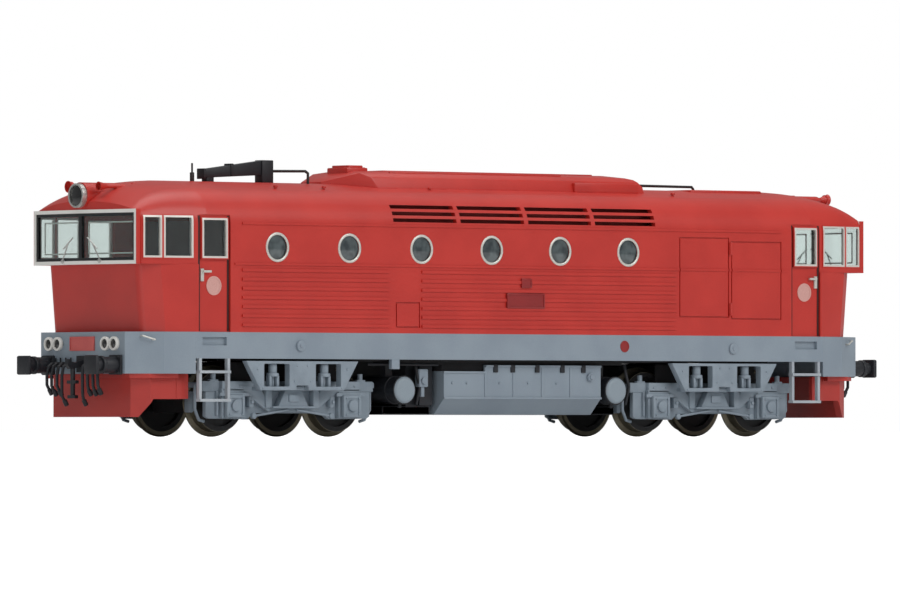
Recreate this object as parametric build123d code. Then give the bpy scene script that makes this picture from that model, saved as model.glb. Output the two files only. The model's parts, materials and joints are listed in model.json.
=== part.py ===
from build123d import *
from math import sqrt
import os

# Scale model of a four-axle diesel locomotive with two cabs and goggle windscreens, in millimetres.
# X runs along the locomotive, Y across it and Z up. Heights below are written above the rail head,
# and each finished piece is lifted by the flange depth, so that z = 0 is the foot of the flanges.
# The front end is at -X. Each end is modelled at +X, and the front is the rear turned half round.

# Wheels and bogies
PIVOT_X = 51.7
WHEELBASE = 27.6
TREAD_R = 5.75
FLANGE_DEPTH = 0.85
WHEEL_INNER_Y = 7.2
WHEEL_WIDTH = 2.8
FLANGE_WIDTH = 0.8
RIM_DEPTH = 1.05
HUB_R = 1.9
WEB_INSET = 0.7
AXLE_R = 1.0
JOURNAL_R = 0.7
JOURNAL_END_Y = 13.2
AXLE_CLEARANCE = 0.05

# Main sizes of the superstructure
BODY_HALF = 17.3
WALL = 1.0
BAND_BOTTOM = 13.5
BAND_TOP = 18.35
BAND_WALL = 1.5
ROOF_TOP = 46.35
CROWN_R = 45.0
SHOULDER_R = 7.0
CAB_START_X = 74.0
BEAM_BOTTOM = 10.7
BEAM_FACE_X = 89.5
BEAM_HALF = 12.5
BEAM_SHOULDER_X = 83.0
BEAM_SHOULDER_HALF = 15.8
BEAM_STEP_X = 76.8
NOSE_BOTTOM_X = 86.0
NOSE_TOP_X = 87.1
NOSE_HALF = 13.0
NOSE_CORNER_R = 3.5
SCREEN_BOTTOM = 30.7
SCREEN_TOP = 40.7
SCREEN_HALF = 15.3
SCREEN_CORNER_X = 88.8
SCREEN_CENTRE_X = 90.1
SCREEN_RIM = 0.65
SCREEN_GASKET = 0.55
SCREEN_POST = 0.9
SCREEN_SEAT = 0.75
SCREEN_PROUD = 0.25
GLASS_THICKNESS = 0.4

# Cab roof sections: x, half width, crown height, shoulder radius
CAB_SECTIONS = [
    (CAB_START_X, BODY_HALF, ROOF_TOP, SHOULDER_R),
    (81.0, 16.4, 45.8, 6.0),
    (86.2, 15.7, 44.4, 4.0),
    (SCREEN_CENTRE_X, 15.2, 42.1, 1.2),
]

# Side openings: low x, high x, low z, high z
CAB_WINDOWS = [(84.1, 87.3, 32.2, 39.2), (77.5, 83.0, 32.2, 39.2)]
DOOR_WINDOW = (69.8, 74.9, 32.2, 38.8)
DOOR = (68.7, 76.1, BAND_TOP, 39.8)
DOOR_RECESS = 0.45
FRAME_WIDTH = 0.55
FRAME_PROUD = 0.15

# Engine-room sides
PORTHOLE_X = [-57.7, -40.6, -23.3, -6.3, 10.5, 27.4]
PORTHOLE_Z = 34.0
PORTHOLE_R = 2.35
PORTHOLE_RING = 0.5
BEAD_Z = 30.87
GUTTER_Z = 38.3
BEAD_PROUD = 0.2
RIB_PITCH = 1.68
RIB_COUNT = 7
RIB_START_Z = 19.4
RIB_HEIGHT = 0.55
RIB_PROUD = 0.25
RIB_RUNS = [(-66.0, -31.15), (-23.3, 39.4)]
PANELS = [(40.2, 52.75, 21.8, 37.05), (53.3, 66.1, 21.5, 36.4), (-29.5, -23.7, 19.4, 24.15)]
GROOVE = 0.25
GRILLE_EDGES = [-30.5, -14.25, 2.27, 18.76, 34.8]
GRILLE_ROWS = [39.35, 40.6, 41.85]
SLOT_HEIGHT = 0.7
GRILLE_DIVIDER = 1.0

# Roof
HOOD_FRONT_X = -35.8
HOOD_SHOULDER_X = -26.7
HOOD_END_X = 46.6
HOOD_STEP_X = 38.0
HOOD_TOP = 49.0
HOOD_HALF = 9.0
HATCH = (-35.0, -24.5, 49.9)
HATCH_HALF = 4.5
EXHAUST_HALF = 2.6
LIGHT_Z = 43.3
LIGHT_R = 1.9
LIGHT_FACE_X = 91.2
LIGHT_BACK_X = 90.2
LIGHT_RIM = 0.35
FAIRING_R = 2.45
FAIRING_BACK_X = 77.0
HORN_Y = 4.0
HORN_Z = 46.0
HORN_TUBE_R = 0.4

# Ends
BUFFER_Y = 10.06
BUFFER_Z = 12.3
BUFFER_FACE_X = 95.75
BUFFER_HEAD_R = 1.9
BUFFER_HEAD_THICKNESS = 0.8
BUFFER_SLEEVE_R = 1.35
BUFFER_RAM_R = 0.8
LAMP_Z = 16.2
LAMP_Y = [6.7, 9.3]
LAMP_R = 1.2
PLOUGH_FRONT_X = 87.4
PLOUGH_FRONT_HALF = 11.5
PLOUGH_BACK_X = 78.5
PLOUGH_BACK_HALF = 14.6
PLOUGH_BOTTOM = 2.8
PLOUGH_WING_BOTTOM = 6.07
PLOUGH_THICKNESS = 1.0
PLOUGH_FLANGE = 1.0
STEP_X = (68.8, 76.0)
STEP_INSET = 0.4
STEP_Y = BODY_HALF - STEP_INSET
STEP_BOTTOM = 5.6
STEP_RUNGS = [5.6, 10.8]

# Underframe
CHASSIS_BOTTOM = 13.7
CHASSIS_SIDE_GAP = 1.3
CHASSIS_HALF = BODY_HALF - BAND_WALL - CHASSIS_SIDE_GAP
BLOCK_TOP = 37.5
BLOCK_END_X = 64.0
TANK_X = (-16.0, -5.75, 22.5)
TANK_TOPS = (11.4, 12.6)
TANK_HALF = 15.0
TANK_FOOT_HALF = 12.0
TANK_KNEE_Z = 6.3
TANK_BOTTOM = 3.3
RESERVOIR_X = 25.9
RESERVOIR_R = 2.55
RESERVOIR_Z = 7.85
RESERVOIR_INSET = 1.4
RESERVOIR_HALF = BODY_HALF - RESERVOIR_INSET
FIT_GAP = 0.05

# Bogie
BOGIE_TOP = 13.1
PIN_R = 3.0
PIN_TOP = 16.5
TRUCK_HALF = 6.0
TRUCK_END = 17.0
TRUCK_BOTTOM = 3.6
CROSS_HALF = 5.6
BEAM_INNER_Y = 12.0
BEAM_OUTER_Y = 14.0
BEAM_END = 20.2
BEAM_NARROW_X = 16.4
BEAM_NARROW_Y = 13.1
PLATE_INNER_Y = 15.9
PLATE_TOP_HALF = 13.3
PLATE_FOOT_HALF = 9.9
PLATE_FOOT_Z = 7.7
PLATE_WINDOW = (6.1, 6.0, 8.5, 12.3)
AXLE_BOX_R = 2.2
AXLE_BOX_FACE_Y = 15.0


def box(x0, x1, y0, y1, z0, z1):
    """Block between two corners."""
    return Pos((x0 + x1) / 2, (y0 + y1) / 2, (z0 + z1) / 2) * Box(x1 - x0, y1 - y0, z1 - z0)


def plan(points, z0, z1):
    """Closed outline in X and Y, raised from z0 to z1."""
    return Pos(0, 0, z0) * extrude(make_face(Polyline(*points, close=True)), z1 - z0)


def side_profile(points, y0, y1):
    """Closed outline in X and Z, drawn out from y0 to y1."""
    face = make_face(Polyline(*points, close=True))
    return Plane(origin=(0, y0, 0), x_dir=(1, 0, 0), z_dir=(0, -1, 0)) * extrude(face, y0 - y1)


def rod(start, end, radius):
    """Round bar from one point to another."""
    line = Vector(*end) - Vector(*start)
    return Plane(origin=start, z_dir=line.normalized()) * extrude(Circle(radius), line.length)


def mirrored(points):
    """Outline given for one half, closed by its reflection across the centre line."""
    return points + [(x, -y) for x, y in reversed(points)]


def fused(pieces):
    """One shape out of a list of shapes."""
    whole = pieces[0]
    for piece in pieces[1:]:
        whole += piece
    return whole


def both_sides(shape):
    """A shape and its reflection across the centre line."""
    return [shape, mirror(shape, about=Plane.XZ)]


def turned(shape):
    """The same piece at the other end."""
    return Rot(0, 0, 180) * shape


def both_ends(shape):
    return [shape, turned(shape)]


def body_section(x, half, crown, shoulder, base):
    """Cross-section of the superstructure: flat sides, round shoulders, crowned roof."""
    eave = crown - CROWN_R + sqrt(CROWN_R**2 - half**2)
    sides = Polyline((-half, eave), (-half, base), (half, base), (half, eave))
    roof = ThreePointArc((-half, eave), (0, crown), (half, eave))
    face = make_face(sides + roof)
    corners = [v for v in face.vertices() if v.Y > (base + eave) / 2]
    face = fillet(corners, shoulder)
    return Plane(origin=(x, 0, 0), x_dir=(0, 1, 0), z_dir=(1, 0, 0)) * face


def screen_slab(inset, depth, half, z0, z1):
    """V-shaped slab behind the windscreen plane, between two depths."""
    rake = (SCREEN_CENTRE_X - SCREEN_CORNER_X) / SCREEN_HALF
    edge = SCREEN_CENTRE_X - rake * half
    front, back = inset, inset + depth
    points = [(edge - front, half), (SCREEN_CENTRE_X - front, 0), (edge - front, -half),
              (edge - back, -half), (SCREEN_CENTRE_X - back, 0), (edge - back, half)]
    return plan(points, z0, z1)


def cab_form(inset):
    """Solid form of one cab's upper part, from the windscreen sill to the roof."""
    sill = SCREEN_BOTTOM + inset
    sections = [body_section(x, half - inset, crown - inset, max(shoulder - inset, 0.4), sill)
                for x, half, crown, shoulder in CAB_SECTIONS]
    upper = loft(sections)
    rake = (SCREEN_CENTRE_X - SCREEN_CORNER_X) / SCREEN_HALF
    wide = 2 * BODY_HALF
    front = SCREEN_CENTRE_X - inset
    outline = [(CAB_START_X, wide), (front - rake * wide, wide), (front, 0),
               (front - rake * wide, -wide), (CAB_START_X, -wide)]
    return upper & plan(outline, SCREEN_BOTTOM - 1, ROOF_TOP + 1)


def nose_form(inset, base):
    """Solid form of one cab's lower part, whose front leans out towards the sill."""
    faces = []
    for z, front in ((base, NOSE_BOTTOM_X), (SCREEN_BOTTOM + inset, NOSE_TOP_X)):
        half = [(CAB_START_X, BODY_HALF - inset), (76.5, BODY_HALF - inset),
                (front - 3.4, BODY_HALF - 1.6 - inset), (front - inset, NOSE_HALF - inset)]
        face = make_face(Polyline(*mirrored(half), close=True))
        corners = [v for v in face.vertices() if v.X > front - 1.5 - inset]
        faces.append(Pos(0, 0, z) * fillet(corners, 1.8))
    return loft(faces)


def superstructure_form(inset, base):
    """Whole outer or inner form of the red body."""
    long = 2 * CAB_START_X
    middle = extrude(body_section(-CAB_START_X, BODY_HALF - inset, ROOF_TOP - inset,
                                  SHOULDER_R - inset, base), long)
    end = cab_form(inset) + nose_form(inset, base)
    return middle + end + turned(end)


def side_cut(opening, depth, grow=0.0):
    """Block through the -Y side wall, for an opening given by its corners."""
    x0, x1, z0, z1 = opening
    return box(x0 - grow, x1 + grow, -BODY_HALF - 1, -BODY_HALF + depth, z0 - grow, z1 + grow)


def side_openings():
    """All cab openings on the -Y side: windows and door lights at both ends."""
    found = []
    for window in CAB_WINDOWS + [DOOR_WINDOW]:
        x0, x1, z0, z1 = window
        found += [(x0, x1, z0, z1), (-x1, -x0, z0, z1)]
    return found


OUTER = superstructure_form(0, BAND_TOP)


def body_shell():
    shell = OUTER - superstructure_form(WALL, BAND_TOP - 1)
    for x0, x1 in RIB_RUNS:
        for row in range(RIB_COUNT):
            z = RIB_START_Z + row * RIB_PITCH
            rib = box(x0, x1, -BODY_HALF - RIB_PROUD, -BODY_HALF + WALL / 2, z, z + RIB_HEIGHT)
            shell += both_sides(rib)
    beads = [(BEAD_Z, -DOOR[0] + 1, DOOR[0] - 1), (GUTTER_Z, -66.0, 66.0)]
    for z, x0, x1 in beads:
        bead = box(x0, x1, -BODY_HALF - BEAD_PROUD, -BODY_HALF + WALL / 2, z - 0.2, z + 0.2)
        shell += both_sides(bead)
    cuts = []
    for x0, x1, z0, z1 in PANELS:
        depth = GROOVE
        ring = side_cut((x0, x1, z0, z1), depth) - side_cut((x0 + GROOVE, x1 - GROOVE, z0 + GROOVE, z1 - GROOVE), depth)
        cuts += both_sides(ring)
    x0, x1, z0, z1 = DOOR
    for door in (side_cut((x0, x1, z0, z1), DOOR_RECESS), side_cut((-x1, -x0, z0, z1), DOOR_RECESS)):
        cuts += both_sides(door)
    for opening in side_openings():
        cuts += both_sides(side_cut(opening, 4.5, FRAME_WIDTH))
    for x in PORTHOLE_X:
        hole = Pos(x, 0, PORTHOLE_Z) * Rot(90, 0, 0) * Cylinder(PORTHOLE_R, 3 * BODY_HALF)
        cuts.append(hole)
    for x0, x1 in zip(GRILLE_EDGES, GRILLE_EDGES[1:]):
        for z in GRILLE_ROWS:
            slot = box(x0 + GRILLE_DIVIDER / 2, x1 - GRILLE_DIVIDER / 2, -BODY_HALF - 1,
                       -BODY_HALF + SHOULDER_R / 2, z - SLOT_HEIGHT / 2, z + SLOT_HEIGHT / 2)
            cuts += both_sides(slot)
    seat = screen_slab(-1, 1 + SCREEN_SEAT, BODY_HALF, SCREEN_BOTTOM - 1, SCREEN_TOP)
    screen = screen_slab(-1, 6, SCREEN_HALF - SCREEN_RIM, SCREEN_BOTTOM + SCREEN_RIM, SCREEN_TOP - SCREEN_RIM)
    cuts += both_ends(seat) + both_ends(screen)
    return shell - cuts


def frame_band():
    """Grey frame skirt with the buffer beams, open inside for the chassis."""
    half = [(-BEAM_STEP_X, BODY_HALF), (BEAM_STEP_X, BODY_HALF)]
    ring = plan(mirrored(half), BAND_BOTTOM, BAND_TOP)
    tip = [(BEAM_STEP_X, BODY_HALF), (BEAM_SHOULDER_X, BEAM_SHOULDER_HALF), (BEAM_FACE_X, BEAM_HALF)]
    end = plan(mirrored(tip), BEAM_BOTTOM, BAND_TOP)
    pocket_half = [(BEAM_STEP_X - 5, BODY_HALF - BAND_WALL), (BEAM_STEP_X + 0.6, BODY_HALF - BAND_WALL),
                   (BEAM_SHOULDER_X, BEAM_SHOULDER_HALF - BAND_WALL),
                   (BEAM_FACE_X - BAND_WALL, BEAM_HALF - BAND_WALL)]
    pocket = plan(mirrored(pocket_half), BEAM_BOTTOM - 1, BAND_TOP - BAND_WALL)
    middle = box(-BEAM_STEP_X, BEAM_STEP_X, -BODY_HALF + BAND_WALL, BODY_HALF - BAND_WALL, BAND_BOTTOM - 1, BAND_TOP + 1)
    band = ring - middle
    for shape in both_ends(end - pocket):
        band += shape
    cuts = []
    for low, high in ((DOOR[0] + 0.9, DOOR[1] - 0.9), (-DOOR[1] + 0.9, -DOOR[0] - 0.9)):
        cuts += both_sides(box(low, high, -BODY_HALF - 1, -BODY_HALF + 0.6, 15.9, 17.4))
    for z in LAMP_Y:
        cuts += both_ends(rod((BEAM_FACE_X - 3, z, LAMP_Z), (BEAM_FACE_X + 1, z, LAMP_Z), LAMP_R - 0.25))
        cuts += both_ends(rod((BEAM_FACE_X - 3, -z, LAMP_Z), (BEAM_FACE_X + 1, -z, LAMP_Z), LAMP_R - 0.25))
    return band - cuts


def chassis():
    """Heavy inner frame: floor plate, motor block and the two pivot bores."""
    plate = box(-BEAM_STEP_X + 6, BEAM_STEP_X - 6, -CHASSIS_HALF, CHASSIS_HALF, CHASSIS_BOTTOM, BAND_TOP)
    wide = box(-BLOCK_END_X, BLOCK_END_X, -BODY_HALF + BAND_WALL, BODY_HALF - BAND_WALL, CHASSIS_BOTTOM, BAND_TOP)
    block = box(-BLOCK_END_X, BLOCK_END_X, -CHASSIS_HALF, CHASSIS_HALF, BAND_TOP, BLOCK_TOP)
    whole = plate + wide + block
    bore = Pos(PIVOT_X, 0, CHASSIS_BOTTOM) * Cylinder(PIN_R + AXLE_CLEARANCE, 2 * (PIN_TOP + 0.5 - CHASSIS_BOTTOM))
    return whole - both_ends(bore)


def roof_hood():
    section = [(-HOOD_HALF, 42.0), (-HOOD_HALF, 44.3), (-8.2, 47.6), (-7.0, 48.5), (-3.0, HOOD_TOP),
               (3.0, HOOD_TOP), (7.0, 48.5), (8.2, 47.6), (HOOD_HALF, 44.3), (HOOD_HALF, 42.0)]
    face = Plane(origin=(HOOD_FRONT_X, 0, 0), x_dir=(0, 1, 0), z_dir=(1, 0, 0)) * make_face(Polyline(*section, close=True))
    hood = extrude(face, HOOD_END_X - HOOD_FRONT_X)
    outline = [(HOOD_FRONT_X, 3.0), (HOOD_SHOULDER_X, HOOD_HALF), (HOOD_END_X, HOOD_HALF)]
    hood &= plan(mirrored(outline), 40, 52)
    profile = [(HOOD_FRONT_X, 40), (HOOD_FRONT_X, 47.4), (HOOD_FRONT_X + 8, HOOD_TOP),
               (HOOD_STEP_X, HOOD_TOP), (HOOD_STEP_X + 3, 47.8), (HOOD_END_X - 1.5, 47.6),
               (HOOD_END_X, 46.6), (HOOD_END_X, 40)]
    hood &= side_profile(profile, -HOOD_HALF - 1, HOOD_HALF + 1)
    for panel in both_sides(box(22.3, 37.4, -HOOD_HALF - 0.3, -8.0, 44.6, 47.2)):
        hood += panel
    return hood - OUTER


def roof_hatch(hood):
    x0, x1, top = HATCH
    hatch = box(x0, x1, -HATCH_HALF, HATCH_HALF, 46, top)
    hatch = chamfer(hatch.edges().group_by(Axis.Z)[-1], 0.5)
    return hatch - hood - OUTER


def exhaust():
    """Silencer duct: a long sloping trunk that ends in an upright stack."""
    trunk = [(-63.0, 46.6), (-63.0, 48.4), (-60.5, 48.9), (-48.5, 50.4), (-48.5, 48.4), (-58.0, 47.0), (-58.0, 46.0), (-63.0, 46.0)]
    pipe = side_profile(trunk, -EXHAUST_HALF, EXHAUST_HALF)
    stack = box(-48.5, -44.9, -EXHAUST_HALF, EXHAUST_HALF, 46.0, 50.55)
    return pipe + stack - OUTER


def roof_rails():
    """Hand rails and posts on the roof, and the lifting eyes."""
    rails = [rod((-44.9, 0, 48.3), (-35.9, 0, 48.3), 0.3)]
    rails += [rod((46.6, 3, 47.0), (59.0, 3, 47.0), 0.3) + rod((59.0, 3, 46.0), (59.0, 3, 47.2), 0.35)]
    rails += [rod((-64.0, 0, 46.0), (-64.0, 0, 49.9), 0.25)]
    return rails


def headlight_fairing():
    """Round housing that carries the top headlight and runs back into the roof."""
    return rod((FAIRING_BACK_X, 0, LIGHT_Z), (LIGHT_BACK_X, 0, LIGHT_Z), FAIRING_R) - OUTER


def headlight():
    barrel = rod((LIGHT_BACK_X, 0, LIGHT_Z), (LIGHT_FACE_X, 0, LIGHT_Z), LIGHT_R + LIGHT_RIM)
    bowl = rod((LIGHT_FACE_X - 0.5, 0, LIGHT_Z), (LIGHT_FACE_X + 1, 0, LIGHT_Z), LIGHT_R)
    return barrel - bowl


def horns():
    """Large and small air horn, each on a bracket, at the rear end."""
    pieces = []
    for y, bell_x, length, bell in ((-HORN_Y, 90.0, 9.0, 1.15), (HORN_Y, 89.5, 8.0, 0.8)):
        back = bell_x - length
        tube = rod((back, y, HORN_Z), (bell_x - 1.6, y, HORN_Z), HORN_TUBE_R)
        flare = Pos(bell_x - 0.8, y, HORN_Z) * Rot(0, 90, 0) * Cone(HORN_TUBE_R, bell, 1.6)
        post = rod((back + 1, y, 43.0), (back + 1, y, HORN_Z), 0.35)
        pieces.append(tube + flare + post)
    return [piece - OUTER for piece in pieces]


def windscreen_frame():
    z0, z1 = SCREEN_BOTTOM, SCREEN_TOP
    slab = screen_slab(-SCREEN_PROUD, SCREEN_PROUD + SCREEN_SEAT, SCREEN_HALF, z0, z1)
    hole = screen_slab(-2, 5, SCREEN_HALF - SCREEN_RIM, z0 + SCREEN_RIM, z1 - SCREEN_RIM)
    return slab - hole


def windscreen_gasket():
    z0, z1 = SCREEN_BOTTOM + SCREEN_RIM, SCREEN_TOP - SCREEN_RIM
    half = SCREEN_HALF - SCREEN_RIM
    slab = screen_slab(-0.05, 0.8, half, z0, z1)
    pane = box(SCREEN_CORNER_X - 4, SCREEN_CENTRE_X + 2, SCREEN_POST / 2, half - SCREEN_GASKET,
               z0 + SCREEN_GASKET, z1 - SCREEN_GASKET)
    return slab - both_sides(pane)


def windscreen_glass():
    z0, z1 = SCREEN_BOTTOM + SCREEN_RIM + SCREEN_GASKET, SCREEN_TOP - SCREEN_RIM - SCREEN_GASKET
    half = SCREEN_HALF - SCREEN_RIM - SCREEN_GASKET
    slab = screen_slab(0.15, GLASS_THICKNESS, half, z0, z1)
    pane = box(SCREEN_CORNER_X - 4, SCREEN_CENTRE_X + 2, SCREEN_POST / 2, half, z0, z1)
    return [slab & pane for pane in both_sides(pane)]


def side_frames_and_glass():
    """Metal frames in the cab windows and door lights, and the panes in them."""
    skin = superstructure_form(-FRAME_PROUD, BAND_TOP) - superstructure_form(WALL * 0.6, BAND_TOP)
    pane_skin = superstructure_form(0.25, BAND_TOP) - superstructure_form(0.25 + GLASS_THICKNESS, BAND_TOP)
    frames, glass = [], []
    for opening in side_openings():
        for side in (1, -1):
            hole = side_cut(opening, 4.5)
            rim = side_cut(opening, 4.5, FRAME_WIDTH)
            if side < 0:
                hole, rim = mirror(hole, about=Plane.XZ), mirror(rim, about=Plane.XZ)
            frames.append((rim - hole) & skin)
            glass.append(hole & pane_skin)
    return frames, glass


def portholes():
    rings, glass = [], []
    for x in PORTHOLE_X:
        centre = Pos(x, -BODY_HALF, PORTHOLE_Z) * Rot(90, 0, 0)
        ring = centre * (Cylinder(PORTHOLE_R + PORTHOLE_RING, 0.6, align=(Align.CENTER, Align.CENTER, Align.MIN))
                         - Cylinder(PORTHOLE_R - 0.2, 2))
        sleeve = centre * (Cylinder(PORTHOLE_R, 1.2) - Cylinder(PORTHOLE_R - 0.2, 2))
        rings += both_sides(ring + sleeve)
        pane = Pos(x, -BODY_HALF + 0.4, PORTHOLE_Z) * Rot(90, 0, 0) * Cylinder(PORTHOLE_R - 0.2, GLASS_THICKNESS)
        glass += both_sides(pane)
    return rings, glass


def door_handles():
    handles = []
    for end in (1, -1):
        x = end * (DOOR[1] - 1.0)
        face = -BODY_HALF + DOOR_RECESS
        plate = box(x - 0.35, x + 0.35, face - 0.25, face, 27.6, 29.9)
        lever = box(min(x, x - end * 1.8), max(x, x - end * 1.8), face - 0.7, face - 0.25, 29.2, 29.6)
        handles += both_sides(plate + lever)
    return handles


def door_steps():
    """Ladder under each door: two stringers and the treads."""
    steps = []
    for sign in (1, -1):
        x0, x1 = sorted((sign * STEP_X[0], sign * STEP_X[1]))
        ladder = [box(x0, x0 + 0.6, -STEP_Y - 0.4, -STEP_Y + 0.4, STEP_BOTTOM, BAND_BOTTOM),
                  box(x1 - 0.6, x1, -STEP_Y - 0.4, -STEP_Y + 0.4, STEP_BOTTOM, BAND_BOTTOM)]
        ladder += [box(x0, x1, -STEP_Y - 0.7, -STEP_Y + 0.6, z, z + 0.5) for z in STEP_RUNGS]
        steps += both_sides(fused(ladder))
    return steps


def plough():
    outer = [(PLOUGH_BACK_X, PLOUGH_BACK_HALF), (PLOUGH_FRONT_X - 3, 13.6), (PLOUGH_FRONT_X, PLOUGH_FRONT_HALF)]
    inner = [(x - PLOUGH_THICKNESS, y - PLOUGH_THICKNESS) for x, y in outer]
    skirt = plan(mirrored(outer), PLOUGH_BOTTOM, BEAM_BOTTOM) - plan(mirrored(inner), PLOUGH_BOTTOM - 1, BEAM_BOTTOM + 1)
    flange = [(x + PLOUGH_FLANGE, y + PLOUGH_FLANGE) for x, y in outer]
    skirt += plan(mirrored(flange), BEAM_BOTTOM - 0.8, BEAM_BOTTOM) - plan(mirrored(inner), BEAM_BOTTOM - 2, BEAM_BOTTOM + 1)
    under = [(PLOUGH_BACK_X - 2, PLOUGH_BOTTOM - 1), (PLOUGH_BACK_X - 2, PLOUGH_WING_BOTTOM),
             (PLOUGH_FRONT_X - 3.6, PLOUGH_WING_BOTTOM), (PLOUGH_FRONT_X - 1.2, PLOUGH_BOTTOM), (PLOUGH_FRONT_X - 1.2, PLOUGH_BOTTOM - 1)]
    return skirt - side_profile(under, -BODY_HALF, BODY_HALF)


def buffers():
    pieces = []
    for y in (-BUFFER_Y, BUFFER_Y):
        base = rod((BEAM_FACE_X, y, BUFFER_Z), (BEAM_FACE_X + 0.6, y, BUFFER_Z), BUFFER_SLEEVE_R + 0.25)
        sleeve = rod((BEAM_FACE_X, y, BUFFER_Z), (BEAM_FACE_X + 3.2, y, BUFFER_Z), BUFFER_SLEEVE_R)
        ram = rod((BEAM_FACE_X, y, BUFFER_Z), (BUFFER_FACE_X - 0.4, y, BUFFER_Z), BUFFER_RAM_R)
        head = rod((BUFFER_FACE_X - BUFFER_HEAD_THICKNESS, y, BUFFER_Z), (BUFFER_FACE_X, y, BUFFER_Z), BUFFER_HEAD_R)
        pieces.append(base + sleeve + ram + head)
    return pieces


def drawgear():
    """Draw hook with a hanging screw coupling."""
    face = BEAM_FACE_X
    plate = box(face, face + 0.4, -1.4, 1.4, 11.0, 14.0)
    hook = side_profile([(face, 12.0), (face + 3.2, 11.6), (face + 3.9, 12.4), (face + 3.6, 13.4), (face + 3.0, 13.4),
                         (face + 2.9, 12.8), (face + 2.2, 12.7), (face, 13.3)], -0.5, 0.5)
    screw = rod((face + 2.3, 0, 6.6), (face + 2.3, 0, 12.2), 0.45)
    links = box(face + 1.9, face + 2.7, -1.3, 1.3, 8.9, 9.5) + box(face + 1.9, face + 2.7, -1.1, 1.1, 6.2, 6.8)
    return plate + hook + screw + links


def brake_hoses():
    """Hanging air hoses, each with its cock on the beam and its coupling head."""
    hoses = []
    for y in (-7.4, -5.6, -3.4, 3.4, 5.6, 7.4):
        path = FilletPolyline((BEAM_FACE_X, y, 12.3), (BEAM_FACE_X + 2.4, y, 12.3), (BEAM_FACE_X + 2.4, y, 7.2),
                              (BEAM_FACE_X + 0.9, y, 6.0), radius=1.0)
        start = Plane(origin=path @ 0, z_dir=path % 0)
        tube = sweep(start * Circle(0.38), path=path)
        cock = box(BEAM_FACE_X, BEAM_FACE_X + 0.9, y - 0.6, y + 0.6, 11.9, 13.0)
        hoses.append(tube + cock)
    return hoses


def beam_lamps():
    lamps = []
    for y in LAMP_Y:
        for side in (1, -1):
            body = rod((BEAM_FACE_X, side * y, LAMP_Z), (BEAM_FACE_X + 0.5, side * y, LAMP_Z), LAMP_R)
            stem = rod((BEAM_FACE_X - 1.4, side * y, LAMP_Z), (BEAM_FACE_X, side * y, LAMP_Z), LAMP_R - 0.3)
            bowl = rod((BEAM_FACE_X + 0.1, side * y, LAMP_Z), (BEAM_FACE_X + 1, side * y, LAMP_Z), LAMP_R - 0.35)
            lamps.append(body + stem - bowl)
    return lamps


def cab_interior():
    """Floor, rear wall with its doorway side, and driver's desk of one cab."""
    floor = box(BLOCK_END_X + 0.3, 84.0, -14.6, 14.6, BAND_TOP, BAND_TOP + 1.2)
    wall = box(BLOCK_END_X + 0.3, BLOCK_END_X + 1.5, -15.2, 15.2, BAND_TOP, 39.0)
    desk = side_profile([(79.0, BAND_TOP), (84.2, BAND_TOP), (85.2, 30.0), (84.6, 31.2), (80.5, 29.4), (79.6, 28.0)], -11.0, 11.0)
    return (floor + wall + desk) & superstructure_form(WALL + FIT_GAP, BAND_TOP)


def fuel_tank():
    pieces = []
    for x0, x1, top in ((TANK_X[0], TANK_X[1], TANK_TOPS[0]), (TANK_X[1], TANK_X[2], TANK_TOPS[1])):
        section = [(-TANK_HALF, top), (-TANK_HALF, TANK_KNEE_Z), (-TANK_FOOT_HALF, TANK_BOTTOM),
                   (TANK_FOOT_HALF, TANK_BOTTOM), (TANK_HALF, TANK_KNEE_Z), (TANK_HALF, top)]
        face = Plane(origin=(x0, 0, 0), x_dir=(0, 1, 0), z_dir=(1, 0, 0)) * make_face(Polyline(*section, close=True))
        pieces.append(extrude(face, x1 - x0))
    hanger = box(-14.0, 21.0, -9.0, 9.0, TANK_TOPS[0] - 1, CHASSIS_BOTTOM)
    return fused(pieces) + hanger


def air_reservoirs():
    pieces = []
    for x in (-RESERVOIR_X, RESERVOIR_X):
        tank = rod((x, -RESERVOIR_HALF, RESERVOIR_Z), (x, RESERVOIR_HALF, RESERVOIR_Z), RESERVOIR_R)
        tank = fillet(tank.edges(), 0.8)
        straps = [box(x - 0.8, x + 0.8, y - 0.8, y + 0.8, RESERVOIR_Z, CHASSIS_BOTTOM) for y in (-10, 10)]
        pieces.append(tank + straps)
    return pieces


def underframe_boxes():
    front = box(-22.8, -17.0, -12.0, 12.0, 3.6, CHASSIS_BOTTOM)
    return [front]


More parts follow.
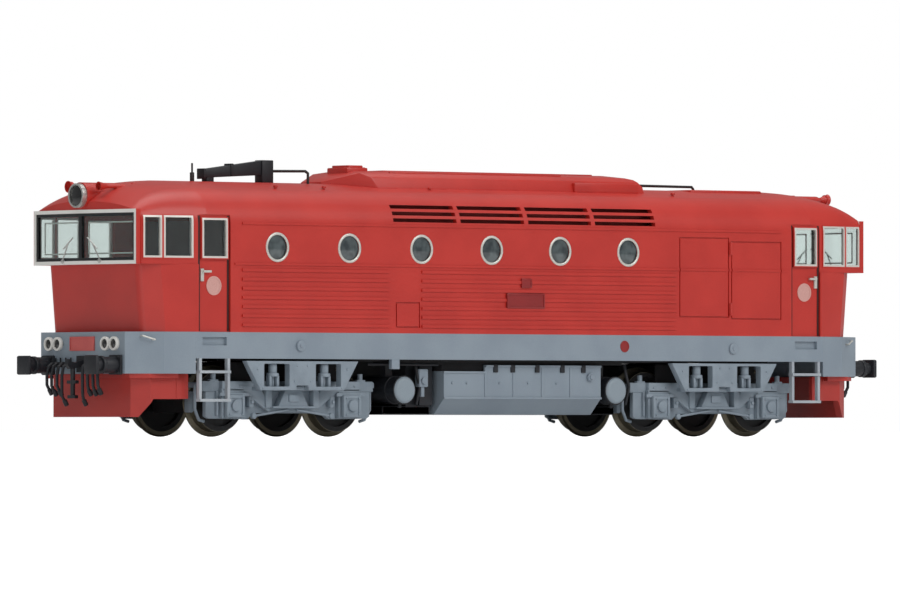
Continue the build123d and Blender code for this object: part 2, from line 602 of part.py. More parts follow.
def bogie_frame():
    """Truck block, cross member, side beams and the plates that hang outside them."""
    axle_x = WHEELBASE / 2
    truck = box(-TRUCK_END, TRUCK_END, -TRUCK_HALF, TRUCK_HALF, TRUCK_BOTTOM, 10.6)
    tower = box(-CROSS_HALF, CROSS_HALF, -BEAM_INNER_Y - 0.5, BEAM_INNER_Y + 0.5, TRUCK_BOTTOM + 1, BOGIE_TOP)
    pin = Pos(0, 0, BOGIE_TOP) * Cylinder(PIN_R, PIN_TOP - BOGIE_TOP, align=(Align.CENTER, Align.CENTER, Align.MIN))
    beam_half = [(0.0, 8.2), (1.9, 8.2), (1.9, 4.9), (5.5, 4.6), (8.8, 8.2), (10.2, 9.3), (BEAM_END, 9.3),
                 (BEAM_END, 7.2), (17.0, 7.2), (16.4, 3.9), (11.2, 3.9), (10.6, 6.0), (6.6, 2.6), (0.0, 2.4)]
    profile = beam_half + [(-x, z) for x, z in reversed(beam_half) if x > 0]
    frame = truck + tower + pin
    for beam in both_sides(side_profile(profile, -BEAM_OUTER_Y, -BEAM_INNER_Y)):
        frame += beam
    for side in (1, -1):
        x0, x1 = sorted((side * BEAM_NARROW_X, side * (BEAM_END + 1)))
        for relief in both_sides(box(x0, x1, -BEAM_OUTER_Y - 1, -BEAM_NARROW_Y, 0, BOGIE_TOP)):
            frame -= relief
    plate = side_profile([(-PLATE_TOP_HALF, BOGIE_TOP), (-PLATE_FOOT_HALF, PLATE_FOOT_Z),
                          (PLATE_FOOT_HALF, PLATE_FOOT_Z), (PLATE_TOP_HALF, BOGIE_TOP)], -BODY_HALF, -PLATE_INNER_Y)
    centre, width, z0, z1 = PLATE_WINDOW
    for side in (1, -1):
        plate -= box(side * centre - width / 2, side * centre + width / 2, -BODY_HALF - 1, -PLATE_INNER_Y + 1, z0, z1)
    arm = box(-3.0, 3.0, -PLATE_INNER_Y - 0.2, -BEAM_INNER_Y, 8.6, BOGIE_TOP)
    for piece in both_sides(plate + arm):
        frame += piece
    for side in (1, -1):
        frame -= rod((side * axle_x, -AXLE_BOX_FACE_Y, TREAD_R), (side * axle_x, AXLE_BOX_FACE_Y, TREAD_R), AXLE_R + AXLE_CLEARANCE)
    return frame


def bogie_springs():
    """Stepped spring pots behind the plate windows."""
    pots = []
    for side in (1, -1):
        x = side * PLATE_WINDOW[0]
        pot = Pos(x, -BEAM_OUTER_Y - 0.2, 0) * (Pos(0, 0, 9.4) * Cylinder(1.5, 1.9) + Pos(0, 0, 10.6) * Cylinder(1.0, 3.6))
        pots += both_sides(pot)
    return pots


def axle_boxes():
    boxes = []
    for side in (1, -1):
        x = side * WHEELBASE / 2
        cover = rod((x, -BEAM_OUTER_Y, TREAD_R), (x, -AXLE_BOX_FACE_Y, TREAD_R), AXLE_BOX_R)
        cap = rod((x, -AXLE_BOX_FACE_Y, TREAD_R), (x, -AXLE_BOX_FACE_Y - 0.4, TREAD_R), AXLE_BOX_R * 0.6)
        boxes += both_sides(cover + cap)
    return boxes


def wheelset():
    """One axle with both wheels, turned about Y through the origin."""
    outer = WHEEL_INNER_Y + WHEEL_WIDTH
    flange_r = TREAD_R + FLANGE_DEPTH
    rim_r = TREAD_R - RIM_DEPTH
    half = [(AXLE_R, 0), (AXLE_R, WHEEL_INNER_Y), (HUB_R, WHEEL_INNER_Y), (HUB_R, WHEEL_INNER_Y + WEB_INSET),
            (rim_r, WHEEL_INNER_Y + WEB_INSET), (rim_r, WHEEL_INNER_Y), (flange_r - 0.3, WHEEL_INNER_Y),
            (flange_r, WHEEL_INNER_Y + 0.25), (flange_r, WHEEL_INNER_Y + FLANGE_WIDTH - 0.25),
            (TREAD_R, WHEEL_INNER_Y + FLANGE_WIDTH), (TREAD_R - 0.08, outer), (rim_r, outer),
            (rim_r, outer - WEB_INSET), (HUB_R, outer - WEB_INSET), (HUB_R, outer), (JOURNAL_R, outer),
            (JOURNAL_R, JOURNAL_END_Y), (0, JOURNAL_END_Y)]
    outline = half + [(r, -y) for r, y in reversed(half) if y > 0]
    face = make_face(Polyline(*outline, close=True))
    return revolve(face, Axis.Y)


def export(node, shape):
    """Write one node's solids at their final height above the flanges' foot."""
    pieces = shape if isinstance(shape, list) else [shape]
    solids = [solid for piece in pieces for solid in (Pos(0, 0, FLANGE_DEPTH) * piece).solids()]
    export_step(solids[0] if len(solids) == 1 else Compound(children=solids), f"parts/{node}.step")


def main():
    os.makedirs("parts", exist_ok=True)
    export("body_shell", body_shell())
    export("frame_band", frame_band())
    export("chassis", chassis())
    hood = roof_hood()
    export("roof_hood", hood)
    export("roof_hatch", roof_hatch(hood))
    export("exhaust", exhaust())
    export("roof_rails", [rail - OUTER - hood for rail in roof_rails()])
    frames, panes = side_frames_and_glass()
    export("side_window_frames", frames)
    export("side_window_glass", panes)
    rings, lights = portholes()
    export("porthole_rings", rings)
    export("porthole_glass", lights)
    export("door_handles", door_handles())
    export("door_steps", door_steps())
    export("fuel_tank", fuel_tank())
    export("air_reservoirs", air_reservoirs())
    export("underframe_boxes", underframe_boxes())
    end_pieces = {
        "headlight_fairing": headlight_fairing(), "headlight": headlight(), "horns": horns(), "windscreen_frame": windscreen_frame(),
        "windscreen_gasket": windscreen_gasket(), "windscreen_glass": windscreen_glass(),
        "plough": plough(), "buffers": buffers(), "drawgear": drawgear(), "brake_hoses": brake_hoses(),
        "beam_lamps": beam_lamps(), "cab_interior": cab_interior(),
    }
    for name, shape in end_pieces.items():
        pieces = shape if isinstance(shape, list) else [shape]
        export(f"{name}_rear", pieces)
        export(f"{name}_front", [turned(piece) for piece in pieces])
    bogie_pieces = {"bogie_frame": bogie_frame(), "bogie_springs": bogie_springs(), "axle_boxes": axle_boxes()}
    for name, shape in bogie_pieces.items():
        pieces = shape if isinstance(shape, list) else [shape]
        export(f"{name}_front", [Pos(-PIVOT_X, 0, 0) * piece for piece in pieces])
        export(f"{name}_rear", [Pos(PIVOT_X, 0, 0) * piece for piece in pieces])
    axle = wheelset()
    places = [-PIVOT_X - WHEELBASE / 2, -PIVOT_X + WHEELBASE / 2, PIVOT_X - WHEELBASE / 2, PIVOT_X + WHEELBASE / 2]
    for number, x in enumerate(places, 1):
        export(f"wheelset_{number}", Pos(x, 0, TREAD_R) * axle)


main()
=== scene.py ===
import json
import math

import bpy
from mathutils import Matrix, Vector


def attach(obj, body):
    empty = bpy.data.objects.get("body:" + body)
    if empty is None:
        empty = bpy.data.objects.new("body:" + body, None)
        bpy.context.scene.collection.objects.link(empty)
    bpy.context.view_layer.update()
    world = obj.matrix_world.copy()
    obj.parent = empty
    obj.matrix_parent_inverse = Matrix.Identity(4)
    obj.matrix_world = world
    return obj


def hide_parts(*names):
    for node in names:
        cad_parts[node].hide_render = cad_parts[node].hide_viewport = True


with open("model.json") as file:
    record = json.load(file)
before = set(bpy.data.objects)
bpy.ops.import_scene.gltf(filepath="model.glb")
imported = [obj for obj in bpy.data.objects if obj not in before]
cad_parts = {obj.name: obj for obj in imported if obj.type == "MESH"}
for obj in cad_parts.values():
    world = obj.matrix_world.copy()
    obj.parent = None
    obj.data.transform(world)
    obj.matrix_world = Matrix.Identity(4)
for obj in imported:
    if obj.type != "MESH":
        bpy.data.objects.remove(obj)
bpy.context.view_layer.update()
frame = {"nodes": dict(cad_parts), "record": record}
NODES = frame["nodes"]

# Sizes are in millimetres, with heights above the rail head. MM turns them into metres.
MM = 0.001
FLANGE_DEPTH = 0.85
RAIL = FLANGE_DEPTH * MM

# Driving sizes of the locomotive. The rear end, at positive x, is modelled, and the front end copies it.
PIVOT_X = 51.7
WHEELBASE = 27.6
TREAD_R = 5.75
AXLE_BORE_R = 1.1
SPRING_X = 6.1
BODY_HALF = 17.3
BEAM_FACE_X = 89.5
BUFFER_Y = 10.06
BUFFER_Z = 12.3
LAMP_Z = 16.2
SCREEN_HALF = 15.3
SCREEN_CORNER_X = 88.8
SCREEN_CENTRE_X = 90.1
RESERVOIR_X = 25.9
RESERVOIR_R = 2.55
RESERVOIR_Z = 7.85
RESERVOIR_HALF = 15.9
PORTHOLE_X = [-57.7, -40.6, -23.3, -6.3, 10.5, 27.4]
PORTHOLE_Z = 34.0
PANE_R = 2.33
RING_R = 2.5
RING_ROD_R = 0.25

# Side windows of the rear cab: where each opening begins and ends along x, then its foot and its head
WINDOWS = [(84.1, 87.3, 32.2, 39.2), (77.5, 83.0, 32.2, 39.2), (69.8, 74.9, 32.2, 38.8)]
WINDOW_LIP = 0.36

# Angles between faces, in degrees: a larger one gets a round, and a smaller one is shaded smooth
ROUNDED_ABOVE = 35
SMOOTH_BELOW = 32

# A face is picked when the cosine of its angle to the wanted way is above FACING,
# and when it lies less than FOREMOST millimetres behind the foremost one
FACING = 0.99
FOREMOST = 0.02

# Strength of the floor's glow and of the even light on the object, where the white background has 1
FLOOR_GLOW = 0.85
EVEN_LIGHT = 0.26

# Camera: worked out from the photograph, whose frame is 900 pixels wide
PHOTO_WIDTH = 900
PHOTO_HEIGHT = 600
VIEW_ANGLE = 39.8
CAMERA_DISTANCE = 1.954
CAMERA_SIDE = 0.00155
FOCAL_PIXELS = 10365
HORIZON_PIXEL = 432.3
SENSOR_WIDTH = 36

AXLE_X = [bogie + side * WHEELBASE / 2 for bogie in (-PIVOT_X, PIVOT_X) for side in (-1, 1)]


def srgb(red, green, blue):
    """A colour read as 0 to 255 values, as the linear colour that shaders take."""
    def linear(value):
        value /= 255
        return value / 12.92 if value <= 0.04045 else ((value + 0.055) / 1.055) ** 2.4
    return (linear(red), linear(green), linear(blue), 1)


class Flow:
    """One output socket of a paint's nodes. Arithmetic on it adds Math nodes."""

    def __init__(self, paint, socket):
        self.paint = paint
        self.socket = socket

    def math(self, operation, *values):
        return self.paint.add("ShaderNodeMath", {"operation": operation}, dict(enumerate(values)))

    def __add__(self, other):
        return self.math("ADD", self, other)

    def __sub__(self, other):
        return self.math("SUBTRACT", self, other)

    def __mul__(self, other):
        return self.math("MULTIPLY", self, other)

    def __truediv__(self, other):
        return self.math("DIVIDE", self, other)

    def __rsub__(self, other):
        return self.math("SUBTRACT", other, self)

    def __abs__(self):
        return self.math("ABSOLUTE", self)

    def or_more(self, other):
        """The larger of two values."""
        return self.math("MAXIMUM", self, other)

    def ramp_between(self, low, high):
        """0 below low, 1 above high, smooth between."""
        settings = {"interpolation_type": "SMOOTHSTEP"}
        return self.paint.add("ShaderNodeMapRange", settings, {0: self, 1: low, 2: high, 3: 0.0, 4: 1.0})


class Paint:
    """A material whose nodes are added by short calls."""

    def __init__(self, name, **shader):
        self.material = bpy.data.materials.new(name)
        self.material.use_nodes = True
        self.tree = self.material.node_tree
        self.shader = self.tree.nodes["Principled BSDF"]
        for socket, value in shader.items():
            self.set(socket.replace("_", " "), value)

    def feed(self, socket, value):
        if isinstance(value, Flow):
            self.tree.links.new(value.socket, socket)
        else:
            socket.default_value = value

    def set(self, socket, value):
        self.feed(self.shader.inputs[socket], value)

    def add(self, kind, settings, inputs, output=0):
        node = self.tree.nodes.new(kind)
        for name, value in settings.items():
            setattr(node, name, value)
        for name, value in inputs.items():
            self.feed(node.inputs[name], value)
        return Flow(self, node.outputs[output])

    def place(self):
        """Object coordinates, in metres."""
        return self.add("ShaderNodeTexCoord", {}, {}, "Object")

    def axes(self):
        """x, y and z of the object coordinates, in metres."""
        split = self.add("ShaderNodeSeparateXYZ", {}, {0: self.place()}).socket.node
        return [Flow(self, output) for output in split.outputs]

    def noise(self, grain_mm, detail=3.0, roughness=0.55):
        """Cloudy pattern whose blobs are about grain_mm wide."""
        size = {"Scale": 1 / (grain_mm * MM), "Detail": detail, "Roughness": roughness}
        return self.add("ShaderNodeTexNoise", {}, {"Vector": self.place(), **size})

    def colour_mix(self, factor, first, second):
        return self.add("ShaderNodeMix", {"data_type": "RGBA"}, {0: factor, 6: first, 7: second}, 2)

    def bump(self, height, depth_mm, strength=1.0):
        """Surface relief of a height that runs from 0 to 1."""
        inputs = {"Height": height, "Distance": depth_mm * MM, "Strength": strength}
        self.set("Normal", self.add("ShaderNodeBump", {}, inputs))


def lacquer(name, colour, shade, roughness, coat=0.0, relief=0.012):
    """Sprayed model lacquer: a faint change of tone, fine peel and a satin gloss that varies."""
    paint = Paint(name)
    patches = paint.noise(9.0, 2.0)
    grain = paint.noise(0.22, 3.0)
    tone = (patches * 0.7 + grain * 0.3).ramp_between(0.36, 0.64)
    paint.set("Base Color", paint.colour_mix(tone, shade, colour))
    paint.set("Roughness", grain * 0.10 + patches * 0.08 + (roughness - 0.09))
    paint.set("Coat Weight", coat)
    paint.set("Coat Roughness", 0.22)
    paint.bump(grain, relief, 0.6)
    return paint.material


def moulded(name, colour, shade, roughness, relief=0.02):
    """Bare moulded plastic with an etched, matt skin."""
    paint = Paint(name)
    grain = paint.noise(0.14, 4.0, 0.65)
    patches = paint.noise(4.0, 2.0)
    tone = (grain * 0.4 + patches * 0.6).ramp_between(0.35, 0.65)
    paint.set("Base Color", paint.colour_mix(tone, shade, colour))
    paint.set("Roughness", grain * 0.16 + (roughness - 0.08))
    paint.bump(grain, relief, 0.8)
    return paint.material


def print_silver(name, colour, shade, metallic, roughness):
    """Metallic ink or plating: flakes that catch the light unevenly."""
    paint = Paint(name)
    flakes = paint.noise(0.09, 2.0)
    clouds = paint.noise(1.6, 2.0)
    paint.set("Base Color", paint.colour_mix(flakes.ramp_between(0.35, 0.7), shade, colour))
    paint.set("Metallic", clouds * 0.12 + (metallic - 0.06))
    paint.set("Roughness", flakes * 0.18 + (roughness - 0.09))
    paint.bump(flakes, 0.006, 0.5)
    return paint.material


def pane(name, tint, roughness):
    """Clear moulded pane with faint streaks in its polish."""
    paint = Paint(name, Base_Color=tint, Transmission_Weight=1.0, IOR=1.46)
    streaks = paint.noise(1.3, 2.0)
    paint.set("Roughness", streaks * 0.05 + roughness)
    return paint.material


def dark_pane(name, colour, shade):
    """Tinted pane with a dark room behind it."""
    paint = Paint(name, IOR=1.5)
    haze = paint.noise(2.4, 2.0)
    paint.set("Base Color", paint.colour_mix(haze.ramp_between(0.35, 0.65), shade, colour))
    paint.set("Roughness", haze * 0.08 + 0.06)
    paint.set("Coat Weight", 0.6)
    paint.set("Coat Roughness", 0.05)
    return paint.material


def wheel_finish(name, axle_x):
    """Blackened wheel with a burnished, brassy tread and turned grooves."""
    paint = Paint(name)
    x, _, z = paint.axes()
    across = x - axle_x * MM
    up = z - (TREAD_R + FLANGE_DEPTH) * MM
    square = across * across + up * up
    radius = square.math("SQRT", square)
    tread = radius.ramp_between((TREAD_R - 0.2) * MM, (TREAD_R - 0.1) * MM)
    grain = paint.noise(0.3, 3.0)
    turning = {"W": radius / MM, "Scale": 14.0, "Detail": 2.0}
    rings = paint.add("ShaderNodeTexNoise", {"noise_dimensions": "1D"}, turning)
    bright = paint.colour_mix(rings, srgb(104, 98, 84), srgb(142, 136, 118))
    black = paint.colour_mix(grain, srgb(30, 31, 33), srgb(46, 46, 47))
    paint.set("Base Color", paint.colour_mix(tread, black, bright))
    paint.set("Metallic", tread * 0.85 + 0.05)
    paint.set("Roughness", 0.56 - tread * 0.22 + grain * 0.08)
    paint.bump(rings, 0.01, 0.5)
    return paint.material


def two_tone(paint, mask, first, second, roughness, swing=0.10, relief=0.01, strength=0.5):
    """First pair of tones where the mask is 0, and second pair where it is 1."""
    grain = paint.noise(0.2, 3.0)
    under = paint.colour_mix(grain, *first)
    over = paint.colour_mix(grain, *second)
    paint.set("Base Color", paint.colour_mix(mask, under, over))
    paint.set("Roughness", grain * swing + roughness)
    paint.bump(grain, relief, strength)
    return paint.material


def reservoir_paint():
    """Black barrels whose flat ends are grey."""
    paint = Paint("reservoir_two_tone")
    _, y, _ = paint.axes()
    end = abs(y).ramp_between((RESERVOIR_HALF - 0.75) * MM, (RESERVOIR_HALF - 0.6) * MM)
    black = (srgb(26, 28, 33), srgb(36, 39, 45))
    grey = (srgb(134, 147, 157), srgb(146, 159, 168))
    return two_tone(paint, end, black, grey, 0.42, 0.12, 0.012, 0.6)


def window_frame_paint():
    """Silver lip next to each pane, and body red outside it."""
    paint = Paint("window_frame_two_tone")
    x, _, z = paint.axes()
    lips = []
    for low, high, foot, head in WINDOWS:
        across = abs(abs(x) - (low + high) / 2 * MM) - (high - low) / 2 * MM
        up = abs(z - ((foot + head) / 2 * MM + RAIL)) - (head - foot) / 2 * MM
        outside = across.or_more(up).ramp_between((WINDOW_LIP - 0.03) * MM, (WINDOW_LIP + 0.03) * MM)
        lips.append(1 - outside)
    lip = lips[0]
    for other in lips[1:]:
        lip = lip.or_more(other)
    paint.set("Metallic", lip * 0.35)
    silver = (srgb(214, 208, 202), srgb(228, 223, 216))
    return two_tone(paint, lip, (RED_SHADE, RED), silver, 0.36)


def screen_frame_paint():
    """White face, with body red on the frame's sides."""
    paint = Paint("screen_frame_two_tone")
    _, y, _ = paint.axes()
    side = abs(y).ramp_between((SCREEN_HALF - 0.12) * MM, (SCREEN_HALF - 0.06) * MM)
    white = (srgb(228, 227, 222), srgb(240, 239, 234))
    return two_tone(paint, side, white, (RED_SHADE, RED), 0.36)


RED = srgb(194, 47, 37)
RED_SHADE = srgb(185, 42, 33)

# Finish of each slot
FINISH = {
    "body_red": lacquer("body_red", RED, RED_SHADE, 0.42, 0.12),
    "plough_red": lacquer("plough_red", srgb(180, 50, 42), srgb(168, 45, 38), 0.46, 0.08),
    "frame_grey": lacquer("frame_grey", srgb(139, 152, 163), srgb(131, 144, 156), 0.45, 0.08),
    "bogie_grey": moulded("bogie_grey", srgb(140, 153, 164), srgb(127, 140, 151), 0.55),
    "chassis_metal": moulded("chassis_metal", srgb(33, 33, 35), srgb(24, 24, 26), 0.6),
    "exhaust_black": moulded("exhaust_black", srgb(24, 27, 33), srgb(17, 20, 26), 0.5),
    "rail_black": moulded("rail_black", srgb(36, 32, 33), srgb(26, 24, 25), 0.5),
    "under_black": moulded("under_black", srgb(29, 32, 38), srgb(20, 23, 29), 0.52),
    "gasket_black": moulded("gasket_black", srgb(27, 29, 32), srgb(20, 22, 25), 0.5),
    "window_silver": print_silver("window_silver", srgb(222, 221, 214), srgb(200, 199, 192), 0.45, 0.4),
    "screen_white": lacquer("screen_white", srgb(236, 235, 230), srgb(226, 225, 220), 0.4, 0.1),
    "lamp_silver": print_silver("lamp_silver", srgb(214, 214, 210), srgb(190, 190, 186), 0.75, 0.28),
    "clear_glass": pane("clear_glass", srgb(226, 234, 232), 0.02),
    "dark_glass": dark_pane("dark_glass", srgb(84, 94, 96), srgb(52, 60, 63)),
    "cab_grey": moulded("cab_grey", srgb(104, 106, 112), srgb(88, 90, 97), 0.6),
}

# Finishes of single pieces that differ from their slot's
# Painted shade: near-black, darker than the chassis black, for the gear cases, the screens between the
# wheels and the sheets under the floor
PAINTED_SHADE = moulded("shadowed_inside", srgb(22, 22, 25), srgb(15, 15, 18), 0.85)
# Painted shade: dark red for the shadowed space seen through the louvres
LOUVRE_SHADE = moulded("louvre_shade_sheet", srgb(128, 38, 34), srgb(108, 30, 27), 0.8)
# Painted shade: dark red strips for the shadowed side walls of the door recesses
DOOR_EDGE_SHADE = moulded("door_edge_shade", srgb(64, 17, 17), srgb(50, 13, 13), 0.7)
STEP_GREY = lacquer("step_grey", srgb(176, 184, 190), srgb(160, 168, 176), 0.42, 0.08)
BADGE = print_silver("badge_print", srgb(222, 176, 168), srgb(206, 152, 144), 0.2, 0.45)
PLATE_RED = lacquer("plate_red", srgb(150, 34, 34), srgb(134, 29, 29), 0.4, 0.1)
BEAM_PLATE = lacquer("beam_plate_red", srgb(206, 98, 94), srgb(192, 84, 80), 0.42, 0.05)
LENS = dark_pane("lamp_lens", srgb(14, 16, 19), srgb(7, 8, 10))


def dress(thing, material):
    thing.data.materials.clear()
    thing.data.materials.append(material)


def dress_nodes():
    """Give every node of the model the finish of its slot."""
    slots = {part["node"]: part["material_slot"] for part in frame["record"]["subparts"]}
    for node, thing in NODES.items():
        if node.startswith("wheelset"):
            dress(thing, wheel_finish(f"wheel_metal_{node[-1]}", AXLE_X[int(node[-1]) - 1]))
        else:
            dress(thing, FINISH[slots[node]])
    dress(NODES["door_steps"], STEP_GREY)
    dress(NODES["air_reservoirs"], reservoir_paint())
    dress(NODES["side_window_frames"], window_frame_paint())
    screen_paint = screen_frame_paint()
    for end in ("front", "rear"):
        dress(NODES["windscreen_frame_" + end], screen_paint)


# Tools for modelling

def unselect():
    bpy.ops.object.select_all(action="DESELECT")


def choose(thing):
    unselect()
    thing.select_set(True)
    bpy.context.view_layer.objects.active = thing


def at(x, y, z):
    """Point given in millimetres above the rail head, in metres above the flanges' foot."""
    return Vector((x * MM, y * MM, z * MM + RAIL))


def settle(thing):
    """Move a piece's place, turn and scale into its mesh."""
    choose(thing)
    bpy.ops.object.transform_apply(location=True, rotation=True, scale=True)


def soften(thing, width, segments=2):
    """Small round on every edge."""
    choose(thing)
    bpy.ops.object.modifier_add(type="BEVEL")
    bevel = thing.modifiers[-1]
    bevel.width = width * MM
    bevel.segments = segments
    bevel.limit_method = "ANGLE"
    bevel.angle_limit = math.radians(ROUNDED_ABOVE)
    bpy.ops.object.modifier_apply(modifier=bevel.name)


def outward(thing):
    """Turn all faces outwards."""
    choose(thing)
    bpy.ops.object.mode_set(mode="EDIT")
    bpy.ops.mesh.select_all(action="SELECT")
    bpy.ops.mesh.normals_make_consistent(inside=False)
    bpy.ops.object.mode_set(mode="OBJECT")


def block(name, low, high, bevel=0.12):
    """Block between two corners, with small rounds."""
    size = [b - a for a, b in zip(low, high)]
    middle = [(a + b) / 2 for a, b in zip(low, high)]
    unselect()
    bpy.ops.mesh.primitive_cube_add(size=1, location=at(*middle), scale=[side * MM for side in size])
    thing = bpy.context.object
    thing.name = name
    settle(thing)
    soften(thing, min(bevel, 0.35 * min(size)))
    return thing


def drum(name, start, end, radius, bevel=0.1, sides=32):
    """Round bar with softened rims."""
    line = at(*end) - at(*start)
    unselect()
    bpy.ops.mesh.primitive_cylinder_add(vertices=sides, radius=radius * MM, depth=line.length,
                                        location=(at(*start) + at(*end)) / 2,
                                        rotation=line.to_track_quat("Z", "Y").to_euler())
    thing = bpy.context.object
    thing.name = name
    settle(thing)
    soften(thing, min(bevel, 0.3 * radius, 0.3 * line.length / MM))
    return thing


def trumpet_bell(mouth, y, z, bell):
    """Hollow bell of a horn, which opens towards positive x."""
    unselect()
    bpy.ops.mesh.primitive_cone_add(vertices=32, radius1=0.42 * MM, radius2=bell * MM, depth=1.9 * MM,
                                    location=at(mouth - 0.95, y, z), rotation=(0, math.radians(90), 0))
    thing = bpy.context.object
    settle(thing)
    return rimmed(thing, (1, 0, 0), 0.15, 0.8)


def porthole_ring(x):
    """Bright ring, flatter than it is wide, round a porthole of the near side."""
    unselect()
    bpy.ops.mesh.primitive_torus_add(major_radius=RING_R * MM, minor_radius=RING_ROD_R * MM,
                                     major_segments=48, minor_segments=12,
                                     location=at(x, -BODY_HALF, PORTHOLE_Z),
                                     rotation=(math.radians(90), 0, 0))
    ring = bpy.context.object
    bpy.ops.object.mode_set(mode="EDIT")
    bpy.ops.transform.resize(value=(1, 0.75, 1), orient_type="GLOBAL")
    bpy.ops.object.mode_set(mode="OBJECT")
    settle(ring)
    return ring


def chain(name, points):
    """Row of vertices drawn from point to point, left in edit mode."""
    unselect()
    bpy.ops.mesh.primitive_plane_add(size=MM, location=at(*points[0]))
    thing = bpy.context.object
    thing.name = name
    bpy.ops.object.mode_set(mode="EDIT")
    bpy.ops.mesh.merge(type="CENTER")
    for here, there in zip(points, points[1:]):
        bpy.ops.mesh.extrude_vertices_move(TRANSFORM_OT_translate={"value": at(*there) - at(*here)})
    bpy.ops.mesh.select_all(action="SELECT")
    return thing


def prism(name, points, push, bevel=0.12):
    """Closed outline, pushed out to a solid."""
    thing = chain(name, points)
    bpy.ops.mesh.edge_face_add()
    bpy.ops.mesh.extrude_region_move(TRANSFORM_OT_translate={"value": Vector(push) * MM})
    bpy.ops.mesh.select_all(action="SELECT")
    bpy.ops.mesh.normals_make_consistent(inside=False)
    bpy.ops.object.mode_set(mode="OBJECT")
    settle(thing)
    if bevel:
        soften(thing, bevel)
    return thing


def wire(name, points, radius):
    """Bent rod of round section."""
    thing = chain(name, points)
    bpy.ops.object.mode_set(mode="OBJECT")
    bpy.ops.object.convert(target="CURVE")
    thing = bpy.context.object
    thing.data.bevel_depth = radius * MM
    thing.data.bevel_resolution = 3
    thing.data.use_fill_caps = True
    bpy.ops.object.convert(target="MESH")
    thing = bpy.context.object
    settle(thing)
    outward(thing)
    return thing


def pick_faces(thing, way):
    """Select the faces that look one way, and go into edit mode."""
    choose(thing)
    bpy.ops.object.mode_set(mode="EDIT")
    bpy.ops.mesh.select_mode(type="FACE")
    bpy.ops.mesh.select_all(action="DESELECT")
    bpy.ops.object.mode_set(mode="OBJECT")
    flat = [face for face in thing.data.polygons if face.normal.dot(Vector(way)) > FACING]
    reach = max(face.center.dot(Vector(way)) for face in flat)
    for face in flat:
        face.select = face.center.dot(Vector(way)) > reach - FOREMOST * MM
    bpy.ops.object.mode_set(mode="EDIT")


def rimmed(thing, way, width, depth):
    """Sink the middle of the face that looks one way, so that a rim stands round it."""
    pick_faces(thing, way)
    bpy.ops.mesh.inset(thickness=width * MM, depth=0)
    bpy.ops.mesh.extrude_region_move(TRANSFORM_OT_translate={"value": Vector(way) * -depth * MM})
    bpy.ops.mesh.select_mode(type="VERT")
    bpy.ops.object.mode_set(mode="OBJECT")
    return thing


def sliced(thing, point, normal):
    """Cut a piece with a plane and close the cut. What lies on the normal's side goes."""
    choose(thing)
    bpy.ops.object.mode_set(mode="EDIT")
    bpy.ops.mesh.select_all(action="SELECT")
    bpy.ops.mesh.bisect(plane_co=at(*point), plane_no=Vector(normal).normalized(),
                        use_fill=True, clear_outer=True)
    bpy.ops.object.mode_set(mode="OBJECT")


def cut_out(thing, cutter):
    """Cut a shape out of a piece."""
    choose(thing)
    bpy.ops.object.modifier_add(type="BOOLEAN")
    thing.modifiers[-1].operation = "DIFFERENCE"
    thing.modifiers[-1].object = cutter
    bpy.ops.object.modifier_apply(modifier=thing.modifiers[-1].name)
    choose(cutter)
    bpy.ops.object.delete()
    return thing


def axle_bored(thing):
    """Running bores for both axles of the rear bogie."""
    for x in AXLE_X[2:]:
        thing = cut_out(thing, drum("cutter", (x, -16, TREAD_R), (x, 16, TREAD_R), AXLE_BORE_R, 0.01))
    return thing


def joined(name, things):
    unselect()
    for thing in things:
        thing.select_set(True)
    bpy.context.view_layer.objects.active = things[0]
    if len(things) > 1:
        bpy.ops.object.join()
    things[0].name = name
    return things[0]


def twin(thing, name, turn=0, flip=False, shift=0):
    """Copy with its own mesh, turned about Z, mirrored across the centre line or moved along."""
    choose(thing)
    bpy.ops.object.duplicate()
    copy = bpy.context.object
    copy.name = name
    copy.rotation_euler.z = math.radians(turn)
    copy.scale.y = -1 if flip else 1
    copy.location.x = shift * MM
    settle(copy)
    if flip:
        outward(copy)
    return copy


def both_sides(name, things):
    """Join the pieces of one side, and add their mirror image on the other side."""
    near = joined(name, things)
    return joined(name, [near, twin(near, name + "_mirror", flip=True)])


def fitted(thing, slot, body="body", material=None):
    """Finish a piece, and let it move with its body."""
    choose(thing)
    bpy.ops.object.shade_smooth_by_angle(angle=math.radians(SMOOTH_BELOW))
    dress(thing, material or FINISH[slot])
    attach(thing, body)
    return thing


def at_both_ends(thing, name, slot, nodes=None, material=None):
    """Fit a piece of the rear end, and the same piece turned round at the front."""
    front = twin(thing, name + "_front", turn=180)
    thing.name = name + "_rear"
    for piece, end in ((thing, "rear"), (front, "front")):
        fitted(piece, slot, "body", material)
        if nodes:
            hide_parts(f"{nodes}_{end}")


def on_both_bogies(thing, name, slot, nodes=None, material=None):
    """Fit a piece of the rear bogie, and its copy on the front bogie."""
    front = twin(thing, name + "_front", shift=-2 * PIVOT_X)
    thing.name = name + "_rear"
    for piece, end in ((thing, "rear"), (front, "front")):
        fitted(piece, slot, f"bogie_{end}", material)
        if nodes:
            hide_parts(f"{nodes}_{end}")


def side_bolts(spots, inner, outer, radius, bevel=0.05):
    """Six-sided bolt heads at x and z places of the near side, from one y to another."""
    return [drum("bolt", (x, inner, z), (x, outer, z), radius, bevel, 6) for x, z in spots]


# Bogies

def bogie_prism(name, half, y, thickness, bevel=0.12):
    """Plate across a bogie: an outline given for one half, reflected at the pivot."""
    outline = half + [(-x, z) for x, z in reversed(half) if x > 0]
    return prism(name, [(PIVOT_X + x, y, z) for x, z in outline], (0, thickness, 0), bevel)


